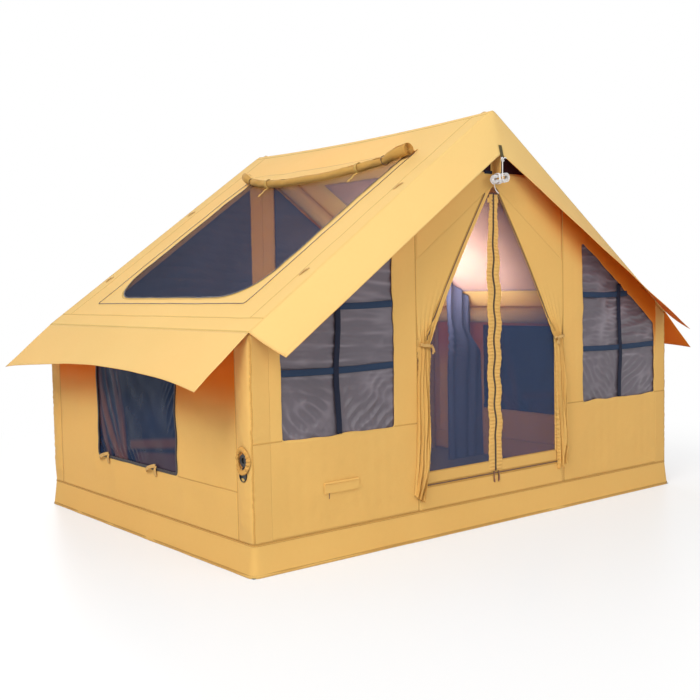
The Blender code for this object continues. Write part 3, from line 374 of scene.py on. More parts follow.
def node(tree, kind, inputs=None, **settings):
    made = tree.nodes.new(kind)
    for key, value in settings.items():
        setattr(made, key, value)
    for key, value in (inputs or {}).items():
        if isinstance(value, bpy.types.NodeSocket):
            tree.links.new(value, made.inputs[key])
        else:
            made.inputs[key].default_value = value
    return made


def maths(tree, operation, *values):
    return node(tree, "ShaderNodeMath", dict(enumerate(values)), operation=operation).outputs[0]


def times(tree, a, b):
    return maths(tree, "MULTIPLY", a, b)


def wave(tree, distance, length):
    return maths(tree, "SINE", times(tree, distance, 2 * math.pi / length))


def ramp(tree, value, low, high, at_low, at_high, interpolation="LINEAR"):
    """A value mapped from low and high to two others, and held beyond them."""
    ends = {0: value, 1: low, 2: high, 3: at_low, 4: at_high}
    return node(tree, "ShaderNodeMapRange", ends, interpolation_type=interpolation).outputs[0]


def parts_of(tree, vector):
    return node(tree, "ShaderNodeSeparateXYZ", {0: vector}).outputs


def place_of(tree):
    return node(tree, "ShaderNodeTexCoord").outputs["Object"]


def noise(tree, place, scale, detail, distortion=0.0):
    inputs = {"Vector": place, "Scale": scale, "Detail": detail, "Distortion": distortion}
    return node(tree, "ShaderNodeTexNoise", inputs).outputs[0]


def chart_of(tree):
    """The cloth chart's two distances, in metres."""
    parts = parts_of(tree, node(tree, "ShaderNodeUVMap", uv_map="cloth").outputs[0])
    return parts[0], parts[1]


def weave_height(tree, u, v, thread):
    """Plain weave: warp and weft threads that rise in turn."""
    return times(tree, wave(tree, u, thread), wave(tree, v, thread))


def bumped(tree, shader, layers):
    """Bumps in a chain, each of a height, a depth in metres and a strength."""
    normal = {}
    for height, depth, strength in layers:
        inputs = {"Height": height, "Distance": depth, "Strength": strength, **normal}
        normal = {"Normal": node(tree, "ShaderNodeBump", inputs).outputs[0]}
    tree.links.new(normal["Normal"], shader.inputs["Normal"])


def blended(tree, share, low, high):
    """A colour between two, each a colour or a socket."""
    low, high = (c if isinstance(c, bpy.types.NodeSocket) else (*c, 1) for c in (low, high))
    return node(tree, "ShaderNodeMix", {0: share, 6: low, 7: high}, data_type="RGBA").outputs[2]


def tinted(tree, shader, share, low, high):
    """The base colour as a mix of two."""
    colour = blended(tree, share, low, high)
    tree.links.new(colour, shader.inputs["Base Color"])
    return colour


def scaled(colour, share):
    return [c * share for c in colour]


def settle(shader, roughness, gloss=None, alpha=None, sheen=None, sheen_roughness=None):
    """Sets what is the same all over the surface, on the shader's own sockets."""
    values = {"Roughness": roughness, "Specular IOR Level": gloss, "Alpha": alpha, "Sheen Weight": sheen,
              "Sheen Roughness": sheen_roughness}
    for key, value in values.items():
        if value is not None:
            shader.inputs[key].default_value = value


def lets_through(tree, shader, colour, share):
    """Passes a share of the light through the cloth, tinted by a colour or a socket's colour."""
    through = node(tree, "ShaderNodeBsdfTranslucent", {"Color": colour})
    mix = node(tree, "ShaderNodeMixShader", {0: share, 1: shader.outputs[0], 2: through.outputs[0]})
    tree.links.new(mix.outputs[0], tree.nodes["Material Output"].inputs["Surface"])


def painted_under_roof_shade(tree, place):
    """Where the painted shade goes on walls: 1 close under the roof and 0 from about 0.4 m below it, on side
    walls and the gables' right halves.
    """
    parts = parts_of(tree, place)
    across = maths(tree, "ABSOLUTE", parts[0])
    below = maths(tree, "SUBTRACT", RIDGE_HEIGHT, maths(tree, "MULTIPLY_ADD", across, SLOPE, parts[2]))
    below = maths(tree, "SUBTRACT", below, ramp(tree, across, 1.44, 1.49, 0.0, 0.11))
    near = ramp(tree, below, 0.08, 0.36, 1.0, 0.0, "SMOOTHSTEP")
    right = ramp(tree, parts[0], 0.05, 0.50, 0.0, 1.0)
    sides = ramp(tree, across, 1.47, 1.49, 0.0, 1.0)
    return times(tree, near, maths(tree, "MAXIMUM", right, sides))


def painted_underside_shade(tree):
    """Where the painted shade goes on flaps and awnings: 1 on faces that look down, 0 on the others."""
    facing = parts_of(tree, node(tree, "ShaderNodeNewGeometry").outputs["True Normal"])
    return ramp(tree, facing[2], -0.15, -0.35, 0.0, 1.0)


def canvas(name, colour, shade, crumple, stitched=False, painted_shade=None, glow=None):
    """Tent cloth: a plain weave, cloudy colour, shallow creases, and stitches on seam bands.

    Where its painted-shade argument is "walls" or "undersides", its colour and its glow turn to a saturated
    orange there: painted shade, for the shade under the roof and under flaps and awnings, lit by light that
    has come through cloth.
    """
    material, tree, shader = blank(name)
    u, v = chart_of(tree)
    place = place_of(tree)
    cloud = noise(tree, place, 2.2, 4.0)
    dust = noise(tree, place, 60.0, 3.0)
    crease = noise(tree, place, 7.0, 5.0, 0.8)
    share = maths(tree, "MULTIPLY_ADD", dust, 0.35, times(tree, cloud, 0.65))
    colour_out = tinted(tree, shader, share, shade, colour)
    glow_out = (*(glow or GLOW), 1)
    # Painted shade: base and glow colours turn orange under the roof or on faces that look down.
    if painted_shade:
        share = painted_under_roof_shade(tree, place) if painted_shade == "walls" else painted_underside_shade(tree)
        colour_out = tinted(tree, shader, share, colour_out, PAINTED_SHADE_CLOTH)
        glow_out = blended(tree, share, GLOW, PAINTED_SHADE_GLOW)
    layers = [(crease, 0.02, crumple), (weave_height(tree, u, v, WEAVE), 0.0003, 0.35)]
    if stitched:
        row = maths(tree, "COMPARE", maths(tree, "ABSOLUTE", v), 0.004, 0.0007)
        dash = maths(tree, "LESS_THAN", maths(tree, "FRACT", times(tree, u, 150.0)), 0.62)
        stitch = times(tree, row, dash)
        tinted(tree, shader, stitch, colour_out, scaled(shade, 0.45))
        layers.append((stitch, 0.0008, 0.6))
    bumped(tree, shader, layers)
    settle(shader, 0.78, gloss=0.14, sheen=0.05, sheen_roughness=0.5)
    if not stitched:
        lets_through(tree, shader, glow_out, GLOW_SHARE)
    return material


def film(name, colour, alpha, roughness, wrinkle, gloss, painted_light_colour=None, contrast=1.25):
    """Window film: see-through and glossy, with shallow wrinkles and, in some, painted light in streaks of
    another colour: the inside seen through the side windows' film and highlights on the folds of the gable
    windows' film.
    """
    material, tree, shader = blank(name)
    place = place_of(tree)
    soft = noise(tree, place, 9.0, 3.0, 1.2)
    cloud = noise(tree, place, 3.0, 2.0)
    base = tinted(tree, shader, cloud, [c / contrast for c in colour], scaled(colour, contrast))
    # Painted light: a per-point share mixes the other colour in.
    if painted_light_colour:
        painted_light_marks = node(tree, "ShaderNodeAttribute", attribute_name="painted_light_share").outputs["Fac"]
        tinted(tree, shader, painted_light_marks, base, painted_light_colour)
    bumped(tree, shader, [(soft, 0.02, wrinkle)])
    settle(shader, roughness, gloss=gloss, alpha=alpha)
    return material


def netting(name, colour, alpha, painted_light_fade=None):
    """Fine insect net: a dark veil with a faint grid; painted light: it may turn more see-through from one
    height to another, so that it reads lighter above, as the light on it does.
    """
    material, tree, shader = blank(name)
    place = place_of(tree)
    parts = parts_of(tree, place)
    height = weave_height(tree, parts[0], parts[2], 0.0024)
    tinted(tree, shader, noise(tree, place, 2.5, 2.0), scaled(colour, 0.85), scaled(colour, 1.2))
    bumped(tree, shader, [(height, 0.0004, 0.5)])
    settle(shader, 0.5, gloss=0.1, alpha=alpha)
    # Painted light: more see-through above, so the upper net reads lighter.
    if painted_light_fade:
        low, high, top_alpha = painted_light_fade
        veil = ramp(tree, parts[2], low, high, alpha, top_alpha, "SMOOTHSTEP")
        tree.links.new(veil, shader.inputs["Alpha"])
    return material


def webbing(name, colour, light):
    """Woven strap: ribs across its length, painted a little lighter on their crowns and darker between them,
    for light and shade.
    """
    material, tree, shader = blank(name)
    u, v = chart_of(tree)
    ribs = wave(tree, u, 0.0018)
    height = maths(tree, "MULTIPLY_ADD", wave(tree, v, 0.004), 0.5, ribs)
    # Painted light and shade: lighter on the crowns, darker in the hollows.
    tinted(tree, shader, maths(tree, "MULTIPLY_ADD", height, 0.3, 0.5), colour, light)
    bumped(tree, shader, [(height, 0.0005, 0.6)])
    settle(shader, 0.7, gloss=0.2)
    return material


def zip_teeth(name, colour, light):
    """A zip's coil: close ridges across it, painted lighter on their tops and darker between them, for light
    and shade.
    """
    material, tree, shader = blank(name)
    teeth = wave(tree, chart_of(tree)[0], 0.0025)
    # Painted light and shade: lighter on the ridges, darker between.
    tinted(tree, shader, maths(tree, "MULTIPLY_ADD", teeth, 0.4, 0.5), colour, light)
    bumped(tree, shader, [(teeth, 0.0008, 0.7)])
    settle(shader, 0.45)
    return material


def moulded(name, colour, roughness, grain):
    """Moulded plastic with a fine grain and slight unevenness of gloss."""
    material, tree, shader = blank(name)
    place = place_of(tree)
    fine = noise(tree, place, grain, 3.0)
    cloud = noise(tree, place, 5.0, 2.0)
    tinted(tree, shader, cloud, scaled(colour, 0.85), scaled(colour, 1.15))
    bumped(tree, shader, [(fine, 0.0004, 0.3)])
    rough = maths(tree, "MULTIPLY_ADD", cloud, 0.15, roughness - 0.07)
    tree.links.new(rough, shader.inputs["Roughness"])
    return material


def cordage(name, colour):
    """Braided cord: strands that cross in two slanting sets, with painted shade darkening the grooves between
    them.
    """
    material, tree, shader = blank(name)
    u, v = chart_of(tree)
    left, right = (wave(tree, maths(tree, way, u, v), 0.0026) for way in ("ADD", "SUBTRACT"))
    height = maths(tree, "MAXIMUM", left, right)
    # Painted shade: darker down in the grooves.
    tinted(tree, shader, maths(tree, "MULTIPLY_ADD", height, 0.35, 0.6), scaled(colour, 0.72), colour)
    bumped(tree, shader, [(height, 0.0006, 0.6)])
    settle(shader, 0.65, sheen=0.2)
    return material


WEAVE = 0.0022
GLOW = (0.95, 0.50, 0.09)
GLOW_SHARE = 0.26
# Painted shade: the orange painted on walls under the roof and on the undersides of flaps and awnings, and
# the glow colour there
PAINTED_SHADE_CLOTH = (0.74, 0.20, 0.006)
PAINTED_SHADE_GLOW = (0.86, 0.19, 0.004)
WALL_CLOTH = canvas("wall_cloth", (0.86, 0.58, 0.185), (0.77, 0.49, 0.140), 0.10, painted_shade="walls")
ROOF_CLOTH = canvas("roof_cloth", (0.92, 0.69, 0.265), (0.85, 0.61, 0.215), 0.08)
# Painted shade on the faces of flaps, awnings and their hems that look down
FLAP_CLOTH = canvas("flap_cloth", (0.92, 0.69, 0.265), (0.85, 0.61, 0.215), 0.08, painted_shade="undersides")
TRIM_CLOTH = canvas("trim_cloth", (0.84, 0.56, 0.18), (0.75, 0.47, 0.135), 0.10)
# Painted shade: the rolled cover is the roof's own cloth, made darker and browner for the shade among its
# folds
PAINTED_SHADE_ROLL_CLOTH = canvas("roll_cloth_painted_shade", (0.76, 0.49, 0.140), (0.46, 0.250, 0.055), 0.30)
INNER_CLOTH = canvas("inner_cloth", (0.200, 0.225, 0.365), (0.150, 0.172, 0.290), 0.05,
                     glow=(0.18, 0.20, 0.34))
WALL_SEAM = canvas("wall_seam", (0.60, 0.33, 0.085), (0.50, 0.26, 0.06), 0.05, stitched=True)
ROOF_SEAM = canvas("roof_seam", (0.66, 0.42, 0.12), (0.56, 0.34, 0.09), 0.05, stitched=True)
# Painted light: the side windows' film takes brown streaks of this colour, for the lit inside seen through it
DARK_FILM = film("dark_film", (0.010, 0.021, 0.052), 0.95, 0.24, 0.08, 0.05, (0.105, 0.050, 0.054),
                 contrast=1.7)
SKY_FILM = film("sky_film", (0.022, 0.046, 0.088), 0.44, 0.30, 0.02, 0.0)
# Painted light: the right skylight's film, under its shut cover, is a pale pink copy of the skylight film,
# for the glow of the lit cloth behind it
PAINTED_GLOW_FILM = film("painted_glow_film", (0.55, 0.41, 0.43), 0.35, 0.30, 0.02, 0.0)
# Painted highlight: the gable windows' film turns this lighter colour where its folds catch the light
GREY_FILM = film("grey_film", (0.112, 0.096, 0.116), 0.93, 0.30, 0.06, 0.40, (0.30, 0.265, 0.30),
                 contrast=1.12)
# Painted light: the door's net turns more see-through from 1.02 m up to 1.22 m, so its upper part reads
# lighter
DOOR_NET = netting("door_net", (0.045, 0.070, 0.142), 0.44, painted_light_fade=(1.02, 1.22, 0.20))
VENT_NET = netting("vent_net", (0.035, 0.010, 0.012), 0.93)
NAVY_STRAP = webbing("navy_strap", (0.006, 0.008, 0.020), (0.014, 0.020, 0.045))
BLUE_STRAP = webbing("blue_strap", (0.012, 0.026, 0.060), (0.026, 0.052, 0.104))
OLIVE_STRAP = webbing("olive_strap", (0.055, 0.042, 0.018), (0.10, 0.08, 0.035))
TAN_STRAP = webbing("tan_strap", (0.50, 0.29, 0.09), (0.68, 0.42, 0.15))
BROWN_TEETH = zip_teeth("brown_teeth", (0.075, 0.032, 0.012), (0.16, 0.075, 0.03))
DARK_TEETH = zip_teeth("dark_teeth", (0.010, 0.007, 0.009), (0.034, 0.024, 0.026))
DOOR_TEETH = zip_teeth("door_teeth", (0.040, 0.020, 0.010), (0.100, 0.055, 0.028))
BEAM_SKIN = moulded("beam_skin", (0.52, 0.34, 0.15), 0.72, 260.0)
BLACK_PLASTIC = moulded("black_plastic", (0.016, 0.016, 0.017), 0.42, 300.0)
BROWN_METAL = moulded("brown_metal", (0.15, 0.065, 0.03), 0.38, 300.0)
FLOOR_CLOTH = moulded("floor_cloth", (0.15, 0.15, 0.14), 0.55, 150.0)
ROPE = cordage("rope", (0.84, 0.82, 0.81))
PULL_CORD = cordage("pull_cord", (0.22, 0.085, 0.045))


# Camera, light and stage

CAMERA_PLACE = (-3.8264, -4.628, 1.2286)
CAMERA_AZIMUTH = -38.7646
CAMERA_ELEVATION = 3.505
CAMERA_ROLL = -1.0989
CAMERA_LENS = 52.021
SENSOR = 36.0


def photograph_camera():
    """The camera fitted to the photograph: azimuth from +Y, elevation looking down, and a slight roll."""
    az, el, roll = (math.radians(a) for a in (CAMERA_AZIMUTH, CAMERA_ELEVATION, CAMERA_ROLL))
    ahead = np.array([-math.sin(az) * math.cos(el), math.cos(az) * math.cos(el), -math.sin(el)])
    right = unit(np.cross(ahead, (0, 0, 1)))
    up = np.cross(right, ahead)
    data = bpy.data.cameras.new("photograph_camera")
    data.lens = CAMERA_LENS
    data.sensor_width = SENSOR
    camera = placed("photograph_camera", data)
    rows = np.eye(4)
    rows[:3, 0] = right * math.cos(roll) + up * math.sin(roll)
    rows[:3, 1] = up * math.cos(roll) - right * math.sin(roll)
    rows[:3, 2], rows[:3, 3] = -ahead, CAMERA_PLACE
    camera.matrix_world = Matrix(rows.tolist())
    bpy.context.scene.camera = camera


def area_light(name, place, target, size, power, colour):
    data = bpy.data.lights.new(name, "AREA")
    data.energy = power
    data.size = size
    data.color = colour
    lamp = placed(name, data)
    lamp.location = place
    lamp.rotation_euler = (Vector(target) - Vector(place)).to_track_quat("-Z", "Y").to_euler()
    return lamp


def seen_directly(tree):
    """1 for what the camera sees, also mirrored or through glass, and 0 for light that falls on things."""
    path = node(tree, "ShaderNodeLightPath").outputs
    seen = maths(tree, "MAXIMUM", path["Is Camera Ray"], path["Is Glossy Ray"])
    return maths(tree, "MAXIMUM", seen, path["Is Transmission Ray"])


def white_to_camera(tree, shader):
    """Mixes plain white light in where it is seen directly, more so away from the tent."""
    seen = seen_directly(tree)
    white = node(tree, "ShaderNodeEmission", {"Strength": 1.0})
    away = node(tree, "ShaderNodeVectorMath", {0: place_of(tree)}, operation="LENGTH").outputs["Value"]
    share = ramp(tree, away, 1.6, 4.2, 0.55, 1.0, "SMOOTHSTEP")
    return node(tree, "ShaderNodeMixShader", {0: times(tree, seen, share), 1: shader, 2: white.outputs[0]})


def stage_and_light():
    """A pale floor, a white world and soft lamps."""
    world = bpy.data.worlds.new("studio")
    bpy.context.scene.world = world
    world.use_nodes = True
    tree = world.node_tree
    back = tree.nodes["Background"]
    back.inputs["Color"].default_value = (0.95, 0.97, 1.0, 1)
    back.inputs["Strength"].default_value = 0.42
    seen = seen_directly(tree)
    white = node(tree, "ShaderNodeBackground", {"Color": (1, 1, 1, 1), "Strength": 1.0})
    mix = node(tree, "ShaderNodeMixShader", {0: seen, 1: back.outputs[0], 2: white.outputs[0]})
    tree.links.new(mix.outputs[0], tree.nodes["World Output"].inputs["Surface"])
    far, under = FLOOR_HALF, FLOOR_UNDER
    corners = [[[-far, -far, under], [-far, far, under]], [[far, -far, under], [far, far, under]]]
    points, quads, _ = turned(grid(np.array(corners)), (0, 0, 1))
    mesh = bpy.data.meshes.new("floor")
    mesh.from_pydata(points.tolist(), [], quads.tolist())
    material, tree, shader = blank("pale_floor")
    shader.inputs["Base Color"].default_value = (0.86, 0.86, 0.86, 1)
    settle(shader, 0.35)
    mix = white_to_camera(tree, shader.outputs[0])
    tree.links.new(mix.outputs[0], tree.nodes["Material Output"].inputs["Surface"])
    mesh.materials.append(material)
    floor = placed("floor", mesh)
    area_light("key", (-6.5, -3.4, 6.2), (0, 0, 0.8), 3.6, 560, (1.0, 0.985, 0.96))
    area_light("fill", (0.6, -7.8, 3.6), (0, 0, 1.0), 5.0, 186, (1.0, 0.99, 0.98))
    area_light("back", (2.5, 6.5, 5.0), (0, 0, 1.2), 5.0, 330, (1.0, 0.99, 0.98))
    indoors = area_light("indoors", (0, -0.55, 1.30), (0, 1.05, 1.30), 0.5, 22, (1.0, 0.80, 0.74))
    slope = area_light("slope", (0.50, 0.15, 0.80), (0.92, 0.40, 1.50), 0.6, 15, (1.0, 0.88, 0.86))
    slope.data.spread = math.radians(SLOPE_LAMP_SPREAD)
    for lamp in (indoors, slope):
        lamp.visible_camera = lamp.visible_glossy = False
    bpy.context.scene.view_settings.view_transform = "Standard"


FLOOR_HALF = 14.0
FLOOR_UNDER = -0.001
SLOPE_LAMP_SPREAD = 100
photograph_camera()
stage_and_light()


# The guy rope, put away as a hank: the route is the part's own

ROPE_RADIUS = 0.0025
HANK_LAYERS = 4
HANK_LOOPS_A_LAYER = 2
HANK_POINTS_A_LOOP = 24
HANK_PITCH = 0.0077
HANK_LAYER_STEP = 0.0060
HANK_HALF_LENGTH = 0.066
HANK_HALF_HEIGHT = 0.0235
HANK_WAIST = -0.012
HANK_WAIST_REACH = 0.018
HANK_WAIST_SHARE = 0.24
HANK_TAPER_SHARE = 0.05
HANK_TILT_DEGREES = 10
HANK_FIRST_POINT = 5
HANK_LAST_POINT = 181
ROPE_SIDES = 12
HANK_DROP = 0.105
WRAP_STEPS_A_TURN = 16
WRAP_TURNS = 2
WRAP_START_DEGREES = 25
WRAP_SQUARENESS = 0.45
WRAP_CLEARANCE = 0.0066
WRAP_TOP_CLEARANCE = 0.0078
WRAP_PITCH = 0.0064
RUN_AHEAD = 0.0085
RUN_FROM_MIDDLE = 0.004
RUN_STEP = 0.0155
KNOT_RADIUS = 0.0023


def hank_point(count):
    """Piled loops of two runs and two round ends, spiralling in and out and climbing in four layers."""
    phase = count % (2 * HANK_LOOPS_A_LAYER)
    radius = HANK_HALF_HEIGHT - HANK_PITCH * min(phase, 2 * HANK_LOOPS_A_LAYER - phase)
    run = HANK_HALF_LENGTH - HANK_HALF_HEIGHT
    quarter, done = divmod(count % 1 * 4, 1)
    bend = math.pi * done
    if quarter == 0:
        x, z = run * (2 * done - 1), -radius
    elif quarter == 1:
        x, z = run + radius * math.sin(bend), -radius * math.cos(bend)
    elif quarter == 2:
        x, z = run * (1 - 2 * done), radius
    else:
        x, z = -run - radius * math.sin(bend), radius * math.cos(bend)
    waist = HANK_WAIST_SHARE * math.exp(-(((x - HANK_WAIST) / HANK_WAIST_REACH) ** 2))
    z *= (1 + HANK_TAPER_SHARE * x / HANK_HALF_LENGTH) * (1 - waist)
    climbed = 0
    for reversal in range(1, HANK_LAYERS):
        climbed += min(1, max(0, (count - reversal * HANK_LOOPS_A_LAYER) * 2 + 0.5))
    return np.array([x, HANK_LAYER_STEP * (climbed - (HANK_LAYERS - 1) / 2), z])


def squared(value):
    """A sine or cosine drawn out towards a rounded box."""
    return math.copysign(abs(value) ** WRAP_SQUARENESS, value)


def wrap_point(step):
    """The two turns that bind the waist, on a rounded box."""
    turns = step / WRAP_STEPS_A_TURN
    angle = math.radians(WRAP_START_DEGREES) - 2 * math.pi * turns
    half_y = (HANK_LAYERS - 1) / 2 * HANK_LAYER_STEP + WRAP_CLEARANCE
    half_z = HANK_HALF_HEIGHT * (1 - HANK_WAIST_SHARE) + WRAP_TOP_CLEARANCE
    x = HANK_WAIST + WRAP_PITCH - WRAP_PITCH * turns
    return np.array([x, half_y * squared(math.cos(angle)), half_z * squared(math.sin(angle))])


def bezier(a, b, c, d, count):
    t = np.linspace(0, 1, count)[1:-1, None]
    return (1 - t) ** 3 * a + 3 * (1 - t) ** 2 * t * b + 3 * (1 - t) * t * t * c + t**3 * d


def rope_points():
    """The rope's centre line: down from the tab, round the hank, the binding and the tail."""
    turn = math.radians(HANK_TILT_DEGREES)
    tilt = np.array([[math.cos(turn), 0, -math.sin(turn)], [0, 1, 0], [math.sin(turn), 0, math.cos(turn)]])
    steps = range(HANK_FIRST_POINT, HANK_LAST_POINT + 1)
    loops = np.array([tilt @ hank_point(i / HANK_POINTS_A_LOOP) for i in steps])
    wrap = np.array([tilt @ wrap_point(i) for i in range(WRAP_TURNS * WRAP_STEPS_A_TURN + 1)])
    run_y = -(HANK_LAYERS - 1) / 2 * HANK_LAYER_STEP - RUN_AHEAD
    run = np.array([(RUN_FROM_MIDDLE, run_y, HANK_DROP - RUN_STEP * i) for i in range(7)])
    into_loops = unit(loops[1] - loops[0])
    lead_end = loops[0] - into_loops * 0.016 + (0, -0.010, -0.004)
    lead = bezier(run[-1], run[-1] + (0, 0, -0.030), lead_end, loops[0], 9)
    out_of_loops = unit(loops[-1] - loops[-2])
    into_wrap = unit(wrap[1] - wrap[0])
    link_start = loops[-1] + out_of_loops * 0.016 + (0, 0.004, 0)
    link = bezier(loops[-1], link_start, wrap[0] - into_wrap * 0.014 + (0.002, 0.001, 0), wrap[0], 7)
    out_of_wrap = unit(wrap[-1] - wrap[-2])
    end = np.array([0.0, 0.006, -0.074])
    tail = bezier(wrap[-1], wrap[-1] + out_of_wrap * 0.030, np.array([-0.022, 0.016, -0.062]), end, 10)
    return np.concatenate([run, lead, loops, link, wrap, tail, end[None]])


def transported(path):
    """Normals along a path that turn no more than the path does."""
    tangent = unit(np.gradient(path, axis=0))
    normal = unit(np.cross(tangent[0], (0.3, 1.0, 0.2)))
    normals = [normal]
    for t in tangent[1:]:
        normal = unit(normal - t * (normal @ t))
        normals.append(normal)
    return np.array(normals)


def tube(path, radius, sides, closed=False, sizes=None):
    """A round tube along a path, charted by length and by distance round it."""
    turn = np.linspace(0, 2 * math.pi, sides, endpoint=False)
    profile = np.stack([np.cos(turn), np.sin(turn)], -1) * radius
    return sweep(path, transported(path), profile, closed, sizes)


def smoothed(path, times):
    """A path with points added on smooth cubics through its own."""
    ends = np.concatenate([[2 * path[0] - path[1]], path, [2 * path[-1] - path[-2]]])
    a, b, c, d = ends[:-3], ends[1:-2], ends[2:-1], ends[3:]
    t = np.linspace(0, 1, times, endpoint=False)[None, :, None]
    a, b, c, d = (p[:, None] for p in (a, b, c, d))
    fine = 0.5 * (2 * b + (c - a) * t + (2 * a - 5 * b + 4 * c - d) * t**2 + (3 * b - a - 3 * c + d) * t**3)
    return np.concatenate([fine.reshape(-1, 3), path[-1:]])


def guy_rope():
    """The rope and the knot that ties it to the webbing tab."""
    low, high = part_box("guy_rope_hank")
    points = rope_points()
    shift = np.array([0.0, 0.0, high[2] - points[:, 2].max()])
    shift[0] = low[0] - (points[:, 0].min() - ROPE_RADIUS)
    shift[1] = (low[1] + high[1]) / 2 - (points[:, 1].min() + points[:, 1].max()) / 2
    path = smoothed(points + shift, 4)
    rope = add("guy_rope", tube(path, ROPE_RADIUS, ROPE_SIDES), ROPE,
               stands_for=["guy_rope_hank"])
    top = path[0]
    t = np.linspace(0, 2 * math.pi, 90, endpoint=False)[:, None]
    knot_line = top + (0, 0.001, -0.010) + np.concatenate(
        [0.0062 * np.sin(t) + 0.0058 * np.sin(2 * t), 0.0050 * np.sin(3 * t) - 0.004,
         0.0062 * np.cos(t) - 0.0058 * np.cos(2 * t)], 1)
    knot = [tube(knot_line, KNOT_RADIUS, 10, closed=True)]
    for side in (-1, 1):
        tip = top + (side * 0.022, -0.008, -0.012 + 0.004 * side)
        start = top + (0, -0.005, -0.008)
        bend = bezier(start, start + (side * 0.008, -0.006, 0.006), tip + (-side * 0.008, 0, 0.006), tip, 16)
        knot.append(tube(bend, KNOT_RADIUS, 10))
    knot_piece = add("guy_rope_knot", knot, ROPE)


guy_rope()


# Surfaces of the tent: each takes two distances along its cloth and a height above it


def ridge_drop(x):
    """How far the ridge's fold is rounded down at x: a hyperbola that the two slopes run into."""
    rise = np.abs(x) * SLOPE
    return rise - np.sqrt(rise**2 + RIDGE_ROUND**2)


def ridge_sag(y):
    return RIDGE_SAG * (1 - (y / HALF_DEPTH) ** 2)


def roof_surface(side):
    def at(y, down, out=0.0):
        """Roof slope: y along the eave, down from the ridge; it sags a little between its beams."""
        y, down = both(y, down)
        inside = ease((HALF_DEPTH - np.abs(y)) / 0.35) * ease(down / 0.40)
        inside = inside * ease((ROOF_LENGTH - down) / 0.35)
        border = ease((HALF_DEPTH - np.abs(y)) / 0.10) * ease(down / 0.10)
        border = border * ease((ROOF_LENGTH - down) / 0.08)
        lift = -ROOF_SAG * inside + border * ripple(y, down, 11 + side, 0.33, 0.0011)
        lift = lift + border * ripple(y, down, 15 + side, 0.11, 0.00035)
        x = down * ROOF_COS + (out + lift) * ROOF_SIN
        z = RIDGE_HEIGHT - down * ROOF_SIN + (out + lift) * ROOF_COS + ridge_drop(down * ROOF_COS)
        z = z - ridge_sag(y) * (1 - ease(down / 0.75))
        return stacked(side * x, y, z)
    return at


def side_surface(side):
    def at(y, z, out=0.0):
        """Side wall: y along it, z up."""
        y, z = both(y, z)
        border = ease((SLEEVE_Y - np.abs(y)) / 0.12) * ease((z - SKIRT_HEIGHT) / 0.06)
        border = border * ease((WALL_TOP - z) / 0.08)
        lift = border * (ripple(y, z, 21 + side, 0.36, 0.0022) + ripple(y, z, 25 + side, 0.10, 0.0006))
        return stacked(side * (HALF_WIDTH + out + lift), y, z)
    return at


def gable_surface(end):
    def at(x, z, out=0.0):
        """Gable wall: x across it, z up. Slack fades out by the doorway, corners, roof and skirt."""
        x, z = both(x, z)
        border = ease((np.abs(x) - DOOR_HALF - 0.01) / 0.12) if end < 0 else 1.0
        border = border * ease((SLEEVE_X - np.abs(x)) / 0.10) * ease((z - SKIRT_HEIGHT) / 0.06)
        border = border * ease((roof_line(x) - z) / 0.12)
        lift = border * (ripple(x, z, 31 + end, 0.34, 0.0020) + ripple(x, z, 35 + end, 0.09, 0.0006))
        return stacked(x, end * (HALF_DEPTH + out + lift), z)
    return at


SLEEVE_RUN = HALF_DEPTH - CORNER_ROUND - SLEEVE_Y
SLEEVE_ARC = CORNER_ROUND * math.pi / 2
SLEEVE_LENGTH = SLEEVE_RUN + SLEEVE_ARC + HALF_WIDTH - CORNER_ROUND - SLEEVE_X
SLEEVE_SWELL = 0.011
CORNER_SEAM = SLEEVE_RUN + CORNER_ROUND * math.pi * 0.30


def corner_surface(side, end, with_valve=False):
    def at(along, height, out=0.0):
        """Beam sleeve: along it from side wall to gable, swelled by its beam and puckered at its seam."""
        along, height = both(along, height)
        swell = SLEEVE_SWELL * np.sin(math.pi * np.clip(along / CORNER_SEAM, 0, 1)) ** 0.8
        pucker = np.sin(2 * math.pi * height / 0.034 + 2.2 * np.sin(9 * height))
        pucker = pucker * (0.6 + 0.4 * np.sin(23 * height))
        pucker = pucker * (0.0016 if side < 0 else 0.0007) * np.exp(-np.abs(along - CORNER_SEAM) / 0.022)
        crush = np.exp(-(((along - 0.06) / 0.05) ** 2))
        pucker = pucker + 0.0012 * ripple(along, height, 47, 0.06, 1.0) * crush
        fade = ease((height - SKIRT_HEIGHT) / 0.10) * ease((WALL_TOP - height) / 0.06)
        if with_valve:
            fade = fade * (1 - np.exp(-(((height - 0.475) / 0.085) ** 2)))
        out = out + (swell + pucker) * fade * ease(along / 0.01) * ease((SLEEVE_LENGTH - along) / 0.02)
        turn = np.clip((along - SLEEVE_RUN) / CORNER_ROUND, 0, math.pi / 2)
        before = np.minimum(along, SLEEVE_RUN)
        past = np.maximum(along - SLEEVE_RUN - SLEEVE_ARC, 0)
        x = HALF_WIDTH - CORNER_ROUND + (CORNER_ROUND + out) * np.cos(turn) - past
        y = SLEEVE_Y + before + (CORNER_ROUND + out) * np.sin(turn)
        top = np.minimum(roof_line(np.minimum(x, HALF_WIDTH)) - UNDER_ROOF, WALL_TOP + past * SLOPE)
        z = SKIRT_HEIGHT + (height - SKIRT_HEIGHT) * (top - SKIRT_HEIGHT) / (WALL_TOP - SKIRT_HEIGHT)
        return stacked(side * x, end * y, z)
    return at


FLAP_OUT = 0.27
FLAP_DROP = 0.23
FLAP_RISE = 0.058
FLAP_TIP = math.hypot(FLAP_OUT, FLAP_DROP)


def flap_length(y):
    return FLAP_TIP - FLAP_RISE * FLAP_TIP / FLAP_DROP * (1 - (y / HALF_DEPTH) ** 2)


